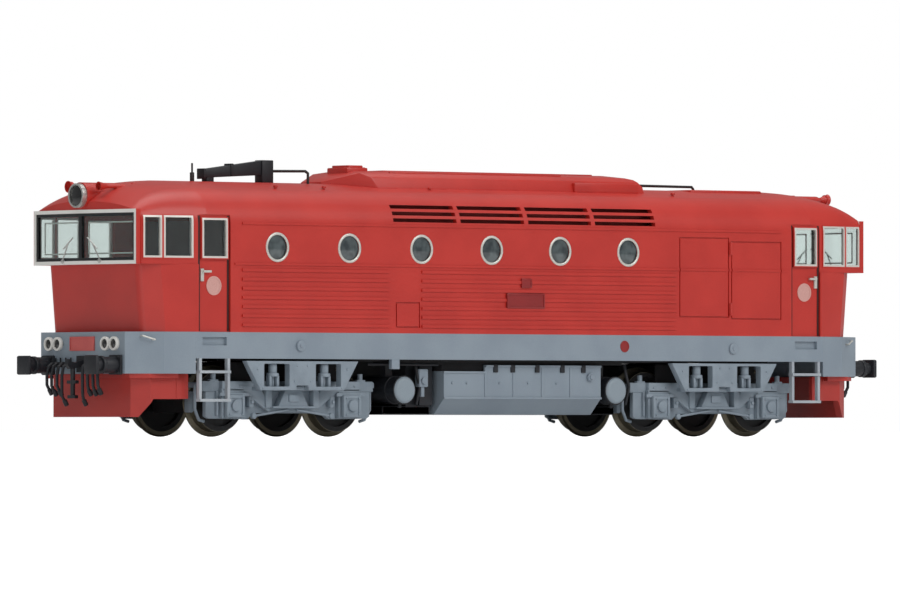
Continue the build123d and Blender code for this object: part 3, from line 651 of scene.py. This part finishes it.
def outer_plate():
    """Plate outside the wheels, with a window for each spring pot."""
    half = [(0, 13.1), (13.3, 13.1), (9.9, 7.7), (1.4, 7.7), (1.4, 8.6), (0, 8.6)]
    plate = bogie_prism("outer_plate", half, -BODY_HALF, 1.4, 0.15)
    for side in (1, -1):
        x = PIVOT_X + side * SPRING_X
        window = block("cutter", (x - 3.0, -BODY_HALF - 1, 8.4), (x + 3.0, -15.0, 12.6), 0.25)
        plate = cut_out(plate, window)
    return plate


def bogie_side_frame():
    """Web, cranked beam, boss, shelf and outer plate of a bogie frame, on both sides."""
    web = [(0, 7.5), (19.4, 7.5), (19.4, 2.9), (18.6, 2.5), (9.6, 2.4), (8.2, 3.5), (0, 3.5)]
    beam = [(0, 4.8), (4.9, 4.8), (8.1, 9.4), (16.3, 9.4), (16.3, 7.5), (11.3, 7.5), (5.4, 3.7), (0, 3.7)]
    pieces = [
        axle_bored(bogie_prism("web", web, -13.0, 1.0)),
        bogie_prism("beam", beam, -14.0, 2.0, 0.2),
        bogie_prism("beam_ends", [(0, 9.4), (20.2, 9.4), (20.2, 7.5), (0, 7.5)], -13.1, 0.9, 0.15),
        bogie_prism("boss", [(0, 7.7), (1.9, 7.7), (3.7, 4.5), (0, 4.5)], -14.6, 1.6),
        block("sill", (PIVOT_X - 5.0, -14.9, 4.4), (PIVOT_X + 5.0, -13.8, 4.8)),
        block("shelf", (PIVOT_X - 9.3, -16.2, 7.7), (PIVOT_X + 9.3, -12.2, 8.4)),
        block("stretcher", (PIVOT_X - 5.6, -12.2, 4.6), (PIVOT_X + 5.6, -7.0, 7.7)),
    ]
    for side in (1, -1):
        axle = PIVOT_X + side * WHEELBASE / 2
        rib = axle + side * 3.2
        foot = PIVOT_X + side * 5.6
        stop = PIVOT_X + side * 17.4
        pieces += [
            axle_bored(block("pedestal", (axle - 2.6, -14.0, 2.6), (axle + 2.6, -12.0, 8.0))),
            block("column", (foot - 0.7, -14.4, 4.5), (foot + 0.7, -12.2, 7.9)),
            drum("bump_stop", (stop, -12.6, 9.0), (stop, -12.6, 10.8), 0.5),
            block("pad", (stop - 1.0, -13.05, 9.2), (stop + 1.0, -12.2, 9.7)),
            block("rib", (rib - 0.25, -13.5, 3.0), (rib + 0.25, -12.9, 7.6)),
        ]
    pieces.append(outer_plate())
    frame_piece = both_sides("bogie_side_frame", pieces)
    on_both_bogies(frame_piece, "bogie_side_frame", "bogie_grey", "bogie_frame")


def bogie_gear_block():
    """Dark gear case with its pivot, and screens that close the view between the wheels; all get painted
    shade, darker than the case's own black.
    """
    case = axle_bored(block("gear_block", (PIVOT_X - 17.0, -6.0, 3.6), (PIVOT_X + 17.0, 6.0, 12.6), 0.4))
    tower = block("tower", (PIVOT_X - 5.6, -7.0, 4.6), (PIVOT_X + 5.6, 7.0, 13.1), 0.3)
    pin = drum("pin", (PIVOT_X, 0, 13.0), (PIVOT_X, 0, 16.5), 3.0)
    screen = block("inner_screen", (PIVOT_X - 12.5, -11.6, 7.4), (PIVOT_X + 12.5, -11.2, 12.9))
    screens = both_sides("inner_screen", [screen])
    gear_block = joined("bogie_gear_block", [case, tower, pin, screens])
    # Painted shade: the case and screens take the near-black shade finish
    on_both_bogies(gear_block, "bogie_gear_block", "chassis_metal", material=PAINTED_SHADE)


def spring_pots():
    """Stepped spring pots on forked feet, in the windows of the outer plates."""
    y = -16.0
    pots = []
    for side in (1, -1):
        x = PIVOT_X + side * SPRING_X
        for leg in (-0.85, 0.85):
            pots.append(block("leg", (x + leg - 0.3, y - 0.6, 8.4), (x + leg + 0.3, y + 0.6, 10.4)))
        pots.append(drum("saddle", (x, y, 10.2), (x, y, 10.9), 1.15, 0.15))
        pots.append(drum("pot", (x, y, 10.8), (x, y, 12.6), 0.8, 0.2))
        pots.append(drum("rod", (x, y, 8.5), (x, y, 10.4), 0.25, 0.05, 16))
    on_both_bogies(both_sides("spring_pots", pots), "spring_pots", "bogie_grey", "bogie_springs")


def axle_boxes():
    """Square axle boxes with a raised, bolted cover and a cap."""
    pieces = []
    for side in (1, -1):
        x = PIVOT_X + side * WHEELBASE / 2
        box = block("box", (x - 2.15, -15.0, 2.7), (x + 2.15, -14.02, 6.9), 0.3)
        pieces.append(rimmed(box, (0, -1, 0), 0.35, 0.15))
        pieces.append(drum("cap", (x, -14.6, 4.9), (x, -15.35, 4.9), 1.1, 0.25))
        corners = [(x + a * 1.45, 4.8 + b * 1.5) for a in (-1, 1) for b in (-1, 1)]
        pieces += side_bolts(corners, -14.7, -15.2, 0.24, 0.06)
        pieces.append(block("wing", (x - 3.4, -14.5, 6.6), (x + 3.4, -14.02, 7.3)))
    on_both_bogies(both_sides("axle_box_covers", pieces), "axle_box_covers", "bogie_grey", "axle_boxes")


def brake_gear():
    """Shoe, hanger and sand pipe at each corner of a bogie."""
    pieces = []
    for side in (1, -1):
        near, far = PIVOT_X + side * 19.6, PIVOT_X + side * 20.7
        low, high = sorted((near, far))
        pieces.append(block("cross_arm", (low, -12.8, 8.2), (high, -8.6, 9.2)))
        pieces.append(block("shoe", (low, -9.8, 3.6), (high, -8.2, 7.6), 0.3))
        pieces.append(wire("sand_pipe", [(far, -11.4, 8.8), (far, -11.4, 4.2),
                                         (far - side * 1.1, -11.2, 2.3),
                                         (far - side * 2.3, -11.2, 2.0)], 0.3))
    on_both_bogies(both_sides("brake_gear", pieces), "brake_gear", "bogie_grey")


def brake_rigging():
    """Pull rods, brackets and a centre lug along the side of a bogie."""
    rods = []
    for side in (1, -1):
        eye = PIVOT_X + side * 9.2
        bracket = eye + side * 0.4
        rods.append(wire("pull_rod", [(PIVOT_X + side * 1.0, -14.25, 4.1), (eye, -14.25, 3.0)], 0.22))
        rods.append(drum("rod_eye", (eye, -13.9, 3.0), (eye, -14.6, 3.0), 0.55, 0.1, 20))
        rods.append(block("bracket", (bracket - 0.5, -14.2, 4.6), (bracket + 0.5, -13.0, 6.6)))
        rods.append(drum("bracket_pin", (bracket, -14.1, 5.6), (bracket, -14.6, 5.6), 0.32, 0.06, 16))
    rods.append(block("centre_lug", (PIVOT_X - 1.2, -14.9, 5.6), (PIVOT_X + 1.2, -14.5, 7.0)))
    on_both_bogies(both_sides("brake_rigging", rods), "brake_rigging", "bogie_grey")


def plate_bolts():
    """Bolt heads on the outer plates and beams of the bogies."""
    plate = [(-10.6, 11.6), (10.6, 11.6), (-1.2, 12.2), (1.2, 12.2),
             (-9.3, 8.1), (9.3, 8.1), (-1.9, 9.4), (1.9, 9.4)]
    beam = [(-15.0, 8.5), (-12.0, 8.5), (12.0, 8.5), (15.0, 8.5)]
    heads = side_bolts([(PIVOT_X + x, z) for x, z in plate], -BODY_HALF + 0.1, -BODY_HALF - 0.12, 0.22)
    heads += side_bolts([(PIVOT_X + x, z) for x, z in beam], -13.9, -14.15, 0.26)
    on_both_bogies(both_sides("plate_bolts", heads), "plate_bolts", "bogie_grey")


# Ends

def buffers():
    """Buffers with square, round-cornered heads."""
    face, z = BEAM_FACE_X, BUFFER_Z
    pieces = []
    for y in (-BUFFER_Y, BUFFER_Y):
        pieces.append(block("foot", (face - 0.1, y - 1.8, z - 1.8), (face + 0.5, y + 1.8, z + 1.8), 0.2))
        pieces.append(drum("sleeve", (face, y, z), (93.3, y, z), 1.5, 0.2))
        pieces.append(drum("collar", (92.7, y, z), (93.5, y, z), 1.65, 0.15))
        pieces.append(drum("ram", (93.3, y, z), (95.2, y, z), 1.2, 0.1))
        pieces.append(block("head", (94.8, y - 1.85, z - 1.75), (95.7, y + 1.85, z + 1.75), 0.32))
        for a in (-1.35, 1.35):
            for b in (-1.35, 1.35):
                start, end = (face + 0.4, y + a, z + b), (face + 0.75, y + a, z + b)
                pieces.append(drum("bolt", start, end, 0.22, 0.05, 6))
    at_both_ends(joined("buffer_pair", pieces), "buffer_pair", "under_black", "buffers")


def hose(y, foot):
    """One moulded brake hose with its cock, lever and coupling head."""
    face = BEAM_FACE_X
    out = 1 if y > 0 else -1
    bend = [(face + 0.2, y, 12.4), (face + 1.4, y, 12.6), (face + 2.2, y, 12.0),
            (face + 2.45, y + out * 0.15, 10.4), (face + 2.4, y + out * 0.2, foot + 1.8),
            (face + 1.9, y, foot + 0.7)]
    return [
        wire("hose", bend, 0.3),
        drum("coupling", (face + 2.0, y, foot + 1.0), (face + 1.4, y, foot), 0.45, 0.1, 16),
        block("cock", (face - 0.05, y - 0.5, 11.9), (face + 0.9, y + 0.5, 12.9)),
        block("lever", (face + 0.4, y - 0.12, 12.8), (face + 0.65, y + 0.12, 13.7), 0.05),
    ]


def hoses():
    """Rigid brake hoses, four on each side of the draw hook."""
    pieces = []
    for y, foot in ((2.9, 4.9), (4.4, 6.7), (6.0, 6.7), (7.4, 6.9)):
        pieces += hose(y, foot) + hose(-y, foot)
    at_both_ends(joined("hose_set", pieces), "hose_set", "under_black", "brake_hoses")


def lamps():
    """Head and tail lamps on the beam, and the lens of the top headlight."""
    face, z = BEAM_FACE_X, LAMP_Z
    rims, lenses = [], []
    for y in (7.1, -7.1, 9.7, -9.7):
        rim = drum("rim", (face - 0.02, y, z), (face + 0.62, y, z), 1.28, 0.1, 40)
        rims.append(rimmed(rim, (1, 0, 0), 0.3, 0.45))
        lenses.append(drum("lens", (face + 0.1, y, z), (face + 0.34, y, z), 0.93, 0.09, 32))
    at_both_ends(joined("beam_lamp_rims", rims), "beam_lamp_rims", "screen_white", "beam_lamps")
    at_both_ends(joined("beam_lamp_lenses", lenses), "beam_lamp_lenses", "dark_glass", material=LENS)
    lens = drum("headlight_lens", (90.72, 0, 43.3), (90.98, 0, 43.3), 1.85, 0.12, 48)
    at_both_ends(lens, "headlight_lens", "dark_glass", material=LENS)


def horns():
    """Two trumpets on brackets."""
    z = 45.0
    pieces = []
    for y, mouth, bell in ((-4.0, 89.8, 1.1), (4.0, 89.0, 0.85)):
        pieces.append(wire("tube", [(80.5, y, z), (mouth - 1.8, y, z)], 0.4))
        pieces.append(trumpet_bell(mouth, y, z, bell))
        pieces.append(block("foot", (84.2, y - 0.35, 42.8), (84.9, y + 0.35, z + 0.1), 0.08))
        pieces.append(drum("sound_box", (80.2, y, z), (81.3, y, z), 0.75, 0.15, 24))
    at_both_ends(joined("trumpets", pieces), "trumpets", "body_red", "horns")


def beam_plates():
    """Blank plate in the middle of each buffer beam."""
    plate = block("beam_plate", (89.45, -3.6, 14.9), (89.8, 3.6, 17.5), 0.05)
    plate = rimmed(plate, (1, 0, 0), 0.22, 0.1)
    at_both_ends(plate, "beam_plate", "body_red", material=BEAM_PLATE)


def beam_grips():
    """Hand grips round the corners of the frame band."""
    grips = []
    for side in (1, -1):
        grips.append(wire("grip", [(86.9, side * 13.85, 17.6), (86.9, side * 14.5, 17.6),
                                   (84.9, side * 15.6, 16.9), (84.9, side * 14.9, 16.9)], 0.16))
    at_both_ends(joined("beam_grips", grips), "beam_grips", "window_silver")


def plough_wings():
    """Upright plates behind each plough."""
    wing = block("wing", (76.4, 13.6, 6.1), (79.2, 14.6, 10.7), 0.1)
    at_both_ends(both_sides("plough_wings", [wing]), "plough_wings", "plough_red")


def screen_x(y):
    """Where the raked windscreen stands, at a distance from the centre line."""
    return SCREEN_CENTRE_X - (SCREEN_CENTRE_X - SCREEN_CORNER_X) / SCREEN_HALF * y


def wipers():
    """A wiper with its pivot under each windscreen pane."""
    pieces = []
    for side in (1, -1):
        x, y, z = screen_x(5.5) + 0.25, side * 5.5, 31.6
        tip = (screen_x(3.6) + 0.3, side * 3.6, 34.6)
        pieces.append(wire("arm", [(x, y, z), tip], 0.12))
        pieces.append(wire("blade", [(tip[0], side * 2.2, 35.6), (tip[0], side * 5.0, 33.6)], 0.13))
        pieces.append(drum("pivot", (x - 0.4, y, z - 0.3), (x + 0.25, y, z - 0.3), 0.38, 0.08, 20))
    at_both_ends(joined("wipers", pieces), "wipers", "lamp_silver")


def inner_window_frames():
    """Thin frames behind the windscreen panes."""
    setback = 1.2
    inner, outer = 1.2, 13.2
    bars = []
    for side in (1, -1):
        for z in (32.7, 38.4):
            ends = [(screen_x(y) - setback, side * y, z) for y in (inner, outer)]
            bars.append(wire("bar", ends, 0.14))
        for y in (inner, outer):
            x = screen_x(y) - setback
            bars.append(wire("post", [(x, side * y, 32.6), (x, side * y, 38.5)], 0.14))
    at_both_ends(joined("inner_window_frames", bars), "inner_window_frames", "screen_white")


def cab_seats():
    """Two seats on stalks in each cab."""
    seats = []
    for y in (-7.5, 7.5):
        seats.append(block("seat", (73.5, y - 2.2, 24.5), (77.5, y + 2.2, 25.6), 0.35))
        seats.append(block("back", (73.0, y - 2.1, 25.2), (73.9, y + 2.1, 31.0), 0.35))
        seats.append(drum("stalk", (75.5, y, 19.4), (75.5, y, 24.7), 0.6))
    at_both_ends(joined("cab_seats", seats), "cab_seats", "chassis_metal")


# Roof

def exhaust():
    """Sloping trunk and stack of the exhaust."""
    slope = [(-61.8, -0.9, 47.0), (-61.8, -0.9, 48.6), (-48.0, -0.9, 50.4), (-48.0, -0.9, 47.7)]
    parts = [
        prism("trunk", slope, (0, 1.8, 0), 0.15),
        rimmed(block("stack", (-48.3, -1.15, 45.9), (-45.6, 1.15, 50.5), 0.15), (0, 0, 1), 0.3, 1.4),
        block("saddle", (-61.2, -0.8, 45.9), (-59.4, 0.8, 47.6), 0.2),
        block("flange", (-62.05, -1.1, 46.8), (-61.6, 1.1, 48.75), 0.1),
        block("strap", (-55.6, -1.1, 47.4), (-55.0, 1.1, 49.75), 0.1),
    ]
    piece = fitted(joined("exhaust_trunk", parts), "exhaust_black")
    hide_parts("exhaust")


def roof_rails():
    """Hand rails before and behind the hood, and the aerial."""
    front = [(-45.8, 0, 48.5), (-40.2, -3.8, 48.5), (-39.8, -4.1, 48.1), (-39.8, -4.1, 45.7)]
    rear = [(38.3, 3, 47.3), (61.0, 3, 47.2), (61.4, 3, 46.8), (61.4, 3, 45.7)]
    parts = [
        wire("front_rail", front, 0.28),
        wire("rear_rail", rear, 0.28),
        wire("aerial", [(-64.0, 0, 45.7), (-64.0, 0, 49.7)], 0.18),
        drum("aerial_foot", (-64.0, 0, 45.9), (-64.0, 0, 48.0), 0.42, 0.1, 20),
    ]
    rails = fitted(joined("roof_hand_rails", parts), "rail_black")
    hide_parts("roof_rails")


def hood():
    """Engine hood on the roof: chamfered section, tapered nose, sloping ends and side flaps."""
    nose = -35.8
    half = [(9.0, 45.0), (9.0, 45.3), (8.2, 47.5), (7.0, 48.3), (3.0, 48.8)]
    section = [(nose, y, z) for y, z in half] + [(nose, -y, z) for y, z in reversed(half)]
    cover = prism("hood", section, (74.4, 0, 0), 0)
    sliced(cover, (nose, 3.0, 45), (-6.0, 9.1, 0))
    sliced(cover, (nose, -3.0, 45), (-6.0, -9.1, 0))
    sliced(cover, (nose, 0, 46.6), (-2.2, 0, 7.8))
    sliced(cover, (33.0, 0, 48.8), (0.8, 0, 4.2))
    sliced(cover, (37.2, 0, 48.0), (1.4, 0, 1.4))
    soften(cover, 0.15)
    parts = [cover]
    for side in (1, -1):
        low, high = sorted((side * 8.1, side * 9.25))
        parts.append(block("flap", (21.0, low, 45.2), (37.0, high, 47.2), 0.15))
        strip = side * 6.2
        parts.append(block("hand_strip", (-22.0, strip - 0.2, 48.2), (20.0, strip + 0.2, 48.65), 0.08))
    parts.append(block("top_strip", (-20.5, -2.6, 48.6), (31.0, 2.6, 49.0), 0.1))
    piece = fitted(joined("engine_hood", parts), "body_red")
    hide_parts("roof_hood")


def hatch():
    """Hinged hatch on the hood."""
    base = block("hatch_base", (-29.5, -3.0, 47.6), (-24.5, 3.0, 49.4), 0.2)
    lid = block("hatch_lid", (-28.8, -2.4, 49.3), (-25.2, 2.4, 49.85), 0.15)
    hinge = drum("hatch_hinge", (-24.5, -2.0, 49.3), (-24.5, 2.0, 49.3), 0.22, 0.05, 16)
    piece = fitted(joined("hood_hatch", [base, lid, hinge]), "body_red")
    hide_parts("roof_hatch")


def roof_plate():
    """Plate behind the hood."""
    plate = block("plate", (53.0, -6.0, 45.0), (71.0, 6.0, 46.4), 0.25)
    plate = rimmed(plate, (0, 0, 1), 0.4, 0.12)
    fitted(joined("roof_plate", [plate]), "body_red")


def lifting_bolts():
    """Lifting bolts along both edges of the roof."""
    bolts = []
    for x, y, foot in ((-53.1, -11.0, 44.5), (-41.6, -11.0, 44.5), (-15.2, -9.9, 44.7), (44.0, -11.0, 44.5)):
        bolts.append(drum("bolt", (x, y, foot), (x, y, foot + 0.9), 0.25, 0.06, 12))
        bolts.append(drum("bolt_head", (x, y, foot + 0.7), (x, y, foot + 1.1), 0.42, 0.08, 16))
    fitted(both_sides("lifting_bolts", bolts), "body_red")


# Sides

def portholes():
    """Thin bright rings and wide dark panes."""
    rings = [porthole_ring(x) for x in PORTHOLE_X]
    panes = [drum("pane", (x, -17.1, PORTHOLE_Z), (x, -16.7, PORTHOLE_Z), PANE_R, 0.08, 48)
             for x in PORTHOLE_X]
    ring_set = fitted(both_sides("porthole_trim", rings), "window_silver")
    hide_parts("porthole_rings")
    pane_set = fitted(both_sides("porthole_panes", panes), "dark_glass")
    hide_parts("porthole_glass")


def linings():
    """Sheets in painted shade colours behind the louvres and under the floor, where light would show
    through.
    """
    back = block("louvre_shade_sheet", (-31.2, -13.6, 38.5), (35.6, -13.2, 42.8))
    # Painted shade: the sheet behind the louvres is dark red
    fitted(both_sides("louvre_shade_sheet", [back]), "body_red", material=LOUVRE_SHADE)
    dark = [
        block("underfloor", (-64.0, -15.7, 13.2), (64.0, -7.5, 13.66), 0.05),
        block("tank_saddle", (-28.4, -14.4, 12.65), (28.4, -9.2, 13.5), 0.1),
        block("low_saddle", (-16.0, -14.4, 11.45), (-5.9, -9.2, 12.9), 0.1),
    ]
    # Painted shade: the underfloor and saddle sheets take the near-black shade finish
    fitted(both_sides("underfloor", dark), "chassis_metal", material=PAINTED_SHADE)


def door_trim():
    """Strips of painted shade at the door edges, where the recess walls lie in shadow, and a blank round
    badge on each door.
    """
    edge_shade_strips = [block("edge_shade_strip", (x - 0.22, -16.95, 18.5), (x + 0.22, -16.75, 39.6), 0.03) for x in (69.0, 75.8)]
    badge = drum("badge", (72.3, -16.7, 26.8), (72.3, -17.0, 26.8), 1.75, 0.05, 40)
    badge = rimmed(badge, (0, -1, 0), 0.28, 0.06)
    # Painted shade: dark red strips at both edges of each door
    at_both_ends(both_sides("door_edge_shade_strips", edge_shade_strips), "door_edge_shade_strips", "gasket_black", material=DOOR_EDGE_SHADE)
    at_both_ends(both_sides("door_badges", [badge]), "door_badges", "window_silver", material=BADGE)


def side_plates():
    """Blank plates in the middle of each side: a wide one and a small one over it."""
    plate = block("number_plate", (-2.8, -17.75, 23.2), (6.4, -17.3, 26.0), 0.06)
    plate = rimmed(plate, (0, -1, 0), 0.25, 0.1)
    small = block("small_plate", (0.8, -17.7, 27.1), (3.3, -17.3, 28.8), 0.05)
    small = rimmed(small, (0, -1, 0), 0.2, 0.08)
    for thing, name in ((plate, "number_plates"), (small, "small_plates")):
        fitted(both_sides(name, [thing]), "body_red", material=PLATE_RED)


def round_plates():
    """Blank round plate on the band of each side."""
    disc = drum("round_plate", (26.5, -17.2, 16.2), (26.5, -17.42, 16.2), 1.1, 0.05)
    disc = rimmed(disc, (0, -1, 0), 0.18, 0.06)
    fitted(both_sides("round_plates", [disc]), "body_red", material=PLATE_RED)


def door_hinges():
    """Hinges of the big side doors."""
    x = 53.05
    hinges = []
    for foot, head in ((33.8, 36.2), (22.2, 24.6)):
        hinges.append(block("leaf", (x - 0.3, -17.5, foot), (x + 0.3, -17.2, head), 0.05))
        hinges.append(drum("knuckle", (x, -17.55, foot), (x, -17.55, head), 0.22, 0.05, 16))
    fitted(both_sides("door_hinges", hinges), "body_red")


def frame_lugs():
    """Lifting lugs on the band, and the tab that hangs from it."""
    lugs = []
    for x in (-52.3, 53.7):
        lugs.append(drum("lug", (x, -17.2, 15.9), (x, -17.75, 15.9), 1.0, 0.2))
        lugs.append(drum("lug_stud", (x, -17.6, 15.9), (x, -17.9, 15.9), 0.4, 0.1, 20))
    lugs.append(block("tab", (-30.4, -17.25, 11.7), (-28.5, -16.3, 13.6), 0.12))
    fitted(both_sides("frame_lugs", lugs), "frame_grey")


# Underframe

def underframe_black():
    """Cradles and walls round the reservoirs, and air pipes."""
    black = [
        block("front_cradle", (-28.4, -12.0, 3.3), (-17.0, 12.0, 4.9), 0.2),
        block("rear_cradle", (22.7, -12.0, 3.3), (28.4, 12.0, 4.9), 0.2),
        block("rear_wall", (22.7, -12.0, 4.5), (23.4, 12.0, 13.2), 0.1),
        block("front_wall", (-20.6, -13.4, 5.0), (-17.4, -11.0, 13.0), 0.2),
    ]
    for x in (-21.8, 29.6):
        bend = [(x, -13.6, 12.8), (x, -14.2, 10.5), (x + 0.6, -14.2, 8.6), (x + 0.4, -13.4, 5.2)]
        black.append(wire("air_pipe", bend, 0.3))
    black.append(wire("long_pipe", [(-34.0, -14.4, 12.6), (-17.0, -14.4, 12.6)], 0.28))
    fitted(both_sides("underframe_black", black), "under_black")


def tank_fittings():
    """Valve boxes, and the fuel tank's ledges, straps, bolts and filler."""
    grey = [
        block("valve_box", (-21.6, -14.6, 8.4), (-19.4, -13.2, 11.8), 0.25),
        drum("valve_cap", (-20.5, -14.5, 9.6), (-20.5, -15.0, 9.6), 0.7, 0.15, 24),
        block("valve_foot", (-20.9, -14.3, 6.6), (-20.1, -13.4, 8.6), 0.1),
        block("ledge", (-16.1, -15.25, 6.2), (22.6, -14.9, 6.6), 0.08),
        block("top_lip", (-5.8, -15.2, 12.2), (22.6, -14.9, 12.6), 0.08),
        block("front_lip", (-16.1, -15.2, 11.0), (-5.8, -14.9, 11.4), 0.08),
        drum("filler", (19.8, -14.9, 10.4), (19.8, -15.6, 10.4), 0.8, 0.15, 24),
        drum("filler_cap", (19.8, -15.5, 10.4), (19.8, -15.85, 10.4), 0.55, 0.1, 6),
    ]
    for x in (-5.9, 1.0, 8.0, 15.0):
        grey.append(block("strap", (x - 0.25, -15.15, 6.4), (x + 0.25, -14.95, 12.2), 0.04))
    grey += side_bolts([(x, 9.2) for x in (-14.0, -10.5, -2.5, 4.5, 11.5)], -14.95, -15.2, 0.24)
    fitted(both_sides("tank_fittings", grey), "frame_grey")


def tank_clips():
    """Dark clips at the top of the tank."""
    clips = [block("notch", (x, -15.3, 11.2), (x + 1.0, -14.95, 12.7), 0.08)
             for x in (-4.0, 0.2, 6.2, 12.4, 17.6)]
    fitted(both_sides("tank_clips", clips), "under_black")


def reservoir_bands():
    """Bands round the air reservoirs, and their drain cocks."""
    radius, z = RESERVOIR_R + 0.12, RESERVOIR_Z
    bands = []
    for x in (-RESERVOIR_X, RESERVOIR_X):
        for y in (-15.2, -12.6):
            bands.append(drum("band", (x, y - 0.25, z), (x, y + 0.25, z), radius, 0.05, 40))
        bands.append(drum("drain", (x, -14.0, z - 3.3), (x, -14.0, z - 2.4), 0.35, 0.08, 16))
    fitted(both_sides("reservoir_bands", bands), "under_black")


def add_pieces():
    bogie_side_frame()
    bogie_gear_block()
    spring_pots()
    axle_boxes()
    brake_gear()
    brake_rigging()
    plate_bolts()
    buffers()
    hoses()
    lamps()
    exhaust()
    roof_rails()
    hood()
    hatch()
    horns()
    portholes()
    linings()
    door_trim()
    side_plates()
    door_hinges()
    frame_lugs()
    round_plates()
    beam_plates()
    beam_grips()
    plough_wings()
    underframe_black()
    tank_fittings()
    tank_clips()
    reservoir_bands()
    wipers()
    inner_window_frames()
    cab_seats()
    lifting_bolts()
    roof_plate()


# Studio

def floor_plane():
    """Pale seamless floor, which glows to the camera alone."""
    unselect()
    bpy.ops.mesh.primitive_plane_add(size=30, location=(0, 0, 0))
    floor = bpy.context.object
    floor.name = "studio_floor"
    paint = Paint("studio_floor", Base_Color=(0.86, 0.86, 0.86, 1), Roughness=0.9)
    rays = paint.add("ShaderNodeLightPath", {}, {}, "Is Camera Ray")
    paint.set("Emission Color", (1, 1, 1, 1))
    paint.set("Emission Strength", rays * FLOOR_GLOW)
    dress(floor, paint.material)


def surroundings():
    """White background for the camera and through glass, and a low, even light on the object."""
    world = bpy.data.worlds.new("studio")
    bpy.context.scene.world = world
    world.use_nodes = True
    tree = world.node_tree
    ground = tree.nodes["Background"]
    path = tree.nodes.new("ShaderNodeLightPath")
    seen = tree.nodes.new("ShaderNodeMath")
    seen.operation = "MAXIMUM"
    tree.links.new(path.outputs["Is Camera Ray"], seen.inputs[0])
    tree.links.new(path.outputs["Is Transmission Ray"], seen.inputs[1])
    level = tree.nodes.new("ShaderNodeMapRange")
    level.inputs["To Min"].default_value = EVEN_LIGHT
    level.inputs["To Max"].default_value = 1.0
    tree.links.new(seen.outputs[0], level.inputs["Value"])
    tree.links.new(level.outputs[0], ground.inputs["Strength"])
    ground.inputs["Color"].default_value = (1, 1, 1, 1)


def softbox(name, spot, target, size, power):
    """Square studio lamp that faces a point."""
    lamp = bpy.data.lights.new(name, "AREA")
    lamp.shape = "RECTANGLE"
    lamp.size, lamp.size_y = size
    lamp.energy = power
    thing = bpy.data.objects.new(name, lamp)
    bpy.context.scene.collection.objects.link(thing)
    thing.location = spot
    thing.rotation_euler = (Vector(target) - Vector(spot)).to_track_quat("-Z", "Y").to_euler()


def lights():
    """Soft light from above, from the camera's side and low from the front."""
    softbox("key_from_camera_side", (0.15, -0.75, 0.55), (0, 0, 0.025), (0.7, 0.4), 3.6)
    softbox("top", (0.0, 0.05, 0.7), (0, 0, 0.03), (0.8, 0.5), 2.8)
    softbox("low_front", (-0.7, -0.45, 0.12), (-0.05, 0, 0.02), (0.4, 0.25), 0.7)


def camera():
    """The photograph's view: a long lens at rail height."""
    turn = math.radians(VIEW_ANGLE)
    forward = Vector((math.sin(turn), math.cos(turn), 0))
    right = Vector((math.cos(turn), -math.sin(turn), 0))
    pitch = math.atan((HORIZON_PIXEL - PHOTO_HEIGHT / 2) / FOCAL_PIXELS)
    lens = bpy.data.cameras.new("photo_camera")
    lens.sensor_width = SENSOR_WIDTH
    lens.lens = FOCAL_PIXELS / PHOTO_WIDTH * SENSOR_WIDTH
    lens.clip_start = 0.05
    lens.clip_end = 60
    thing = bpy.data.objects.new("photo_camera", lens)
    bpy.context.scene.collection.objects.link(thing)
    thing.location = -forward * CAMERA_DISTANCE - right * CAMERA_SIDE + Vector((0, 0, RAIL))
    gaze = forward * math.cos(pitch) + Vector((0, 0, math.sin(pitch)))
    thing.rotation_euler = gaze.to_track_quat("-Z", "Y").to_euler()
    bpy.context.scene.camera = thing


bpy.context.scene.view_settings.view_transform = "Standard"
dress_nodes()
add_pieces()
floor_plane()
surroundings()
lights()
camera()
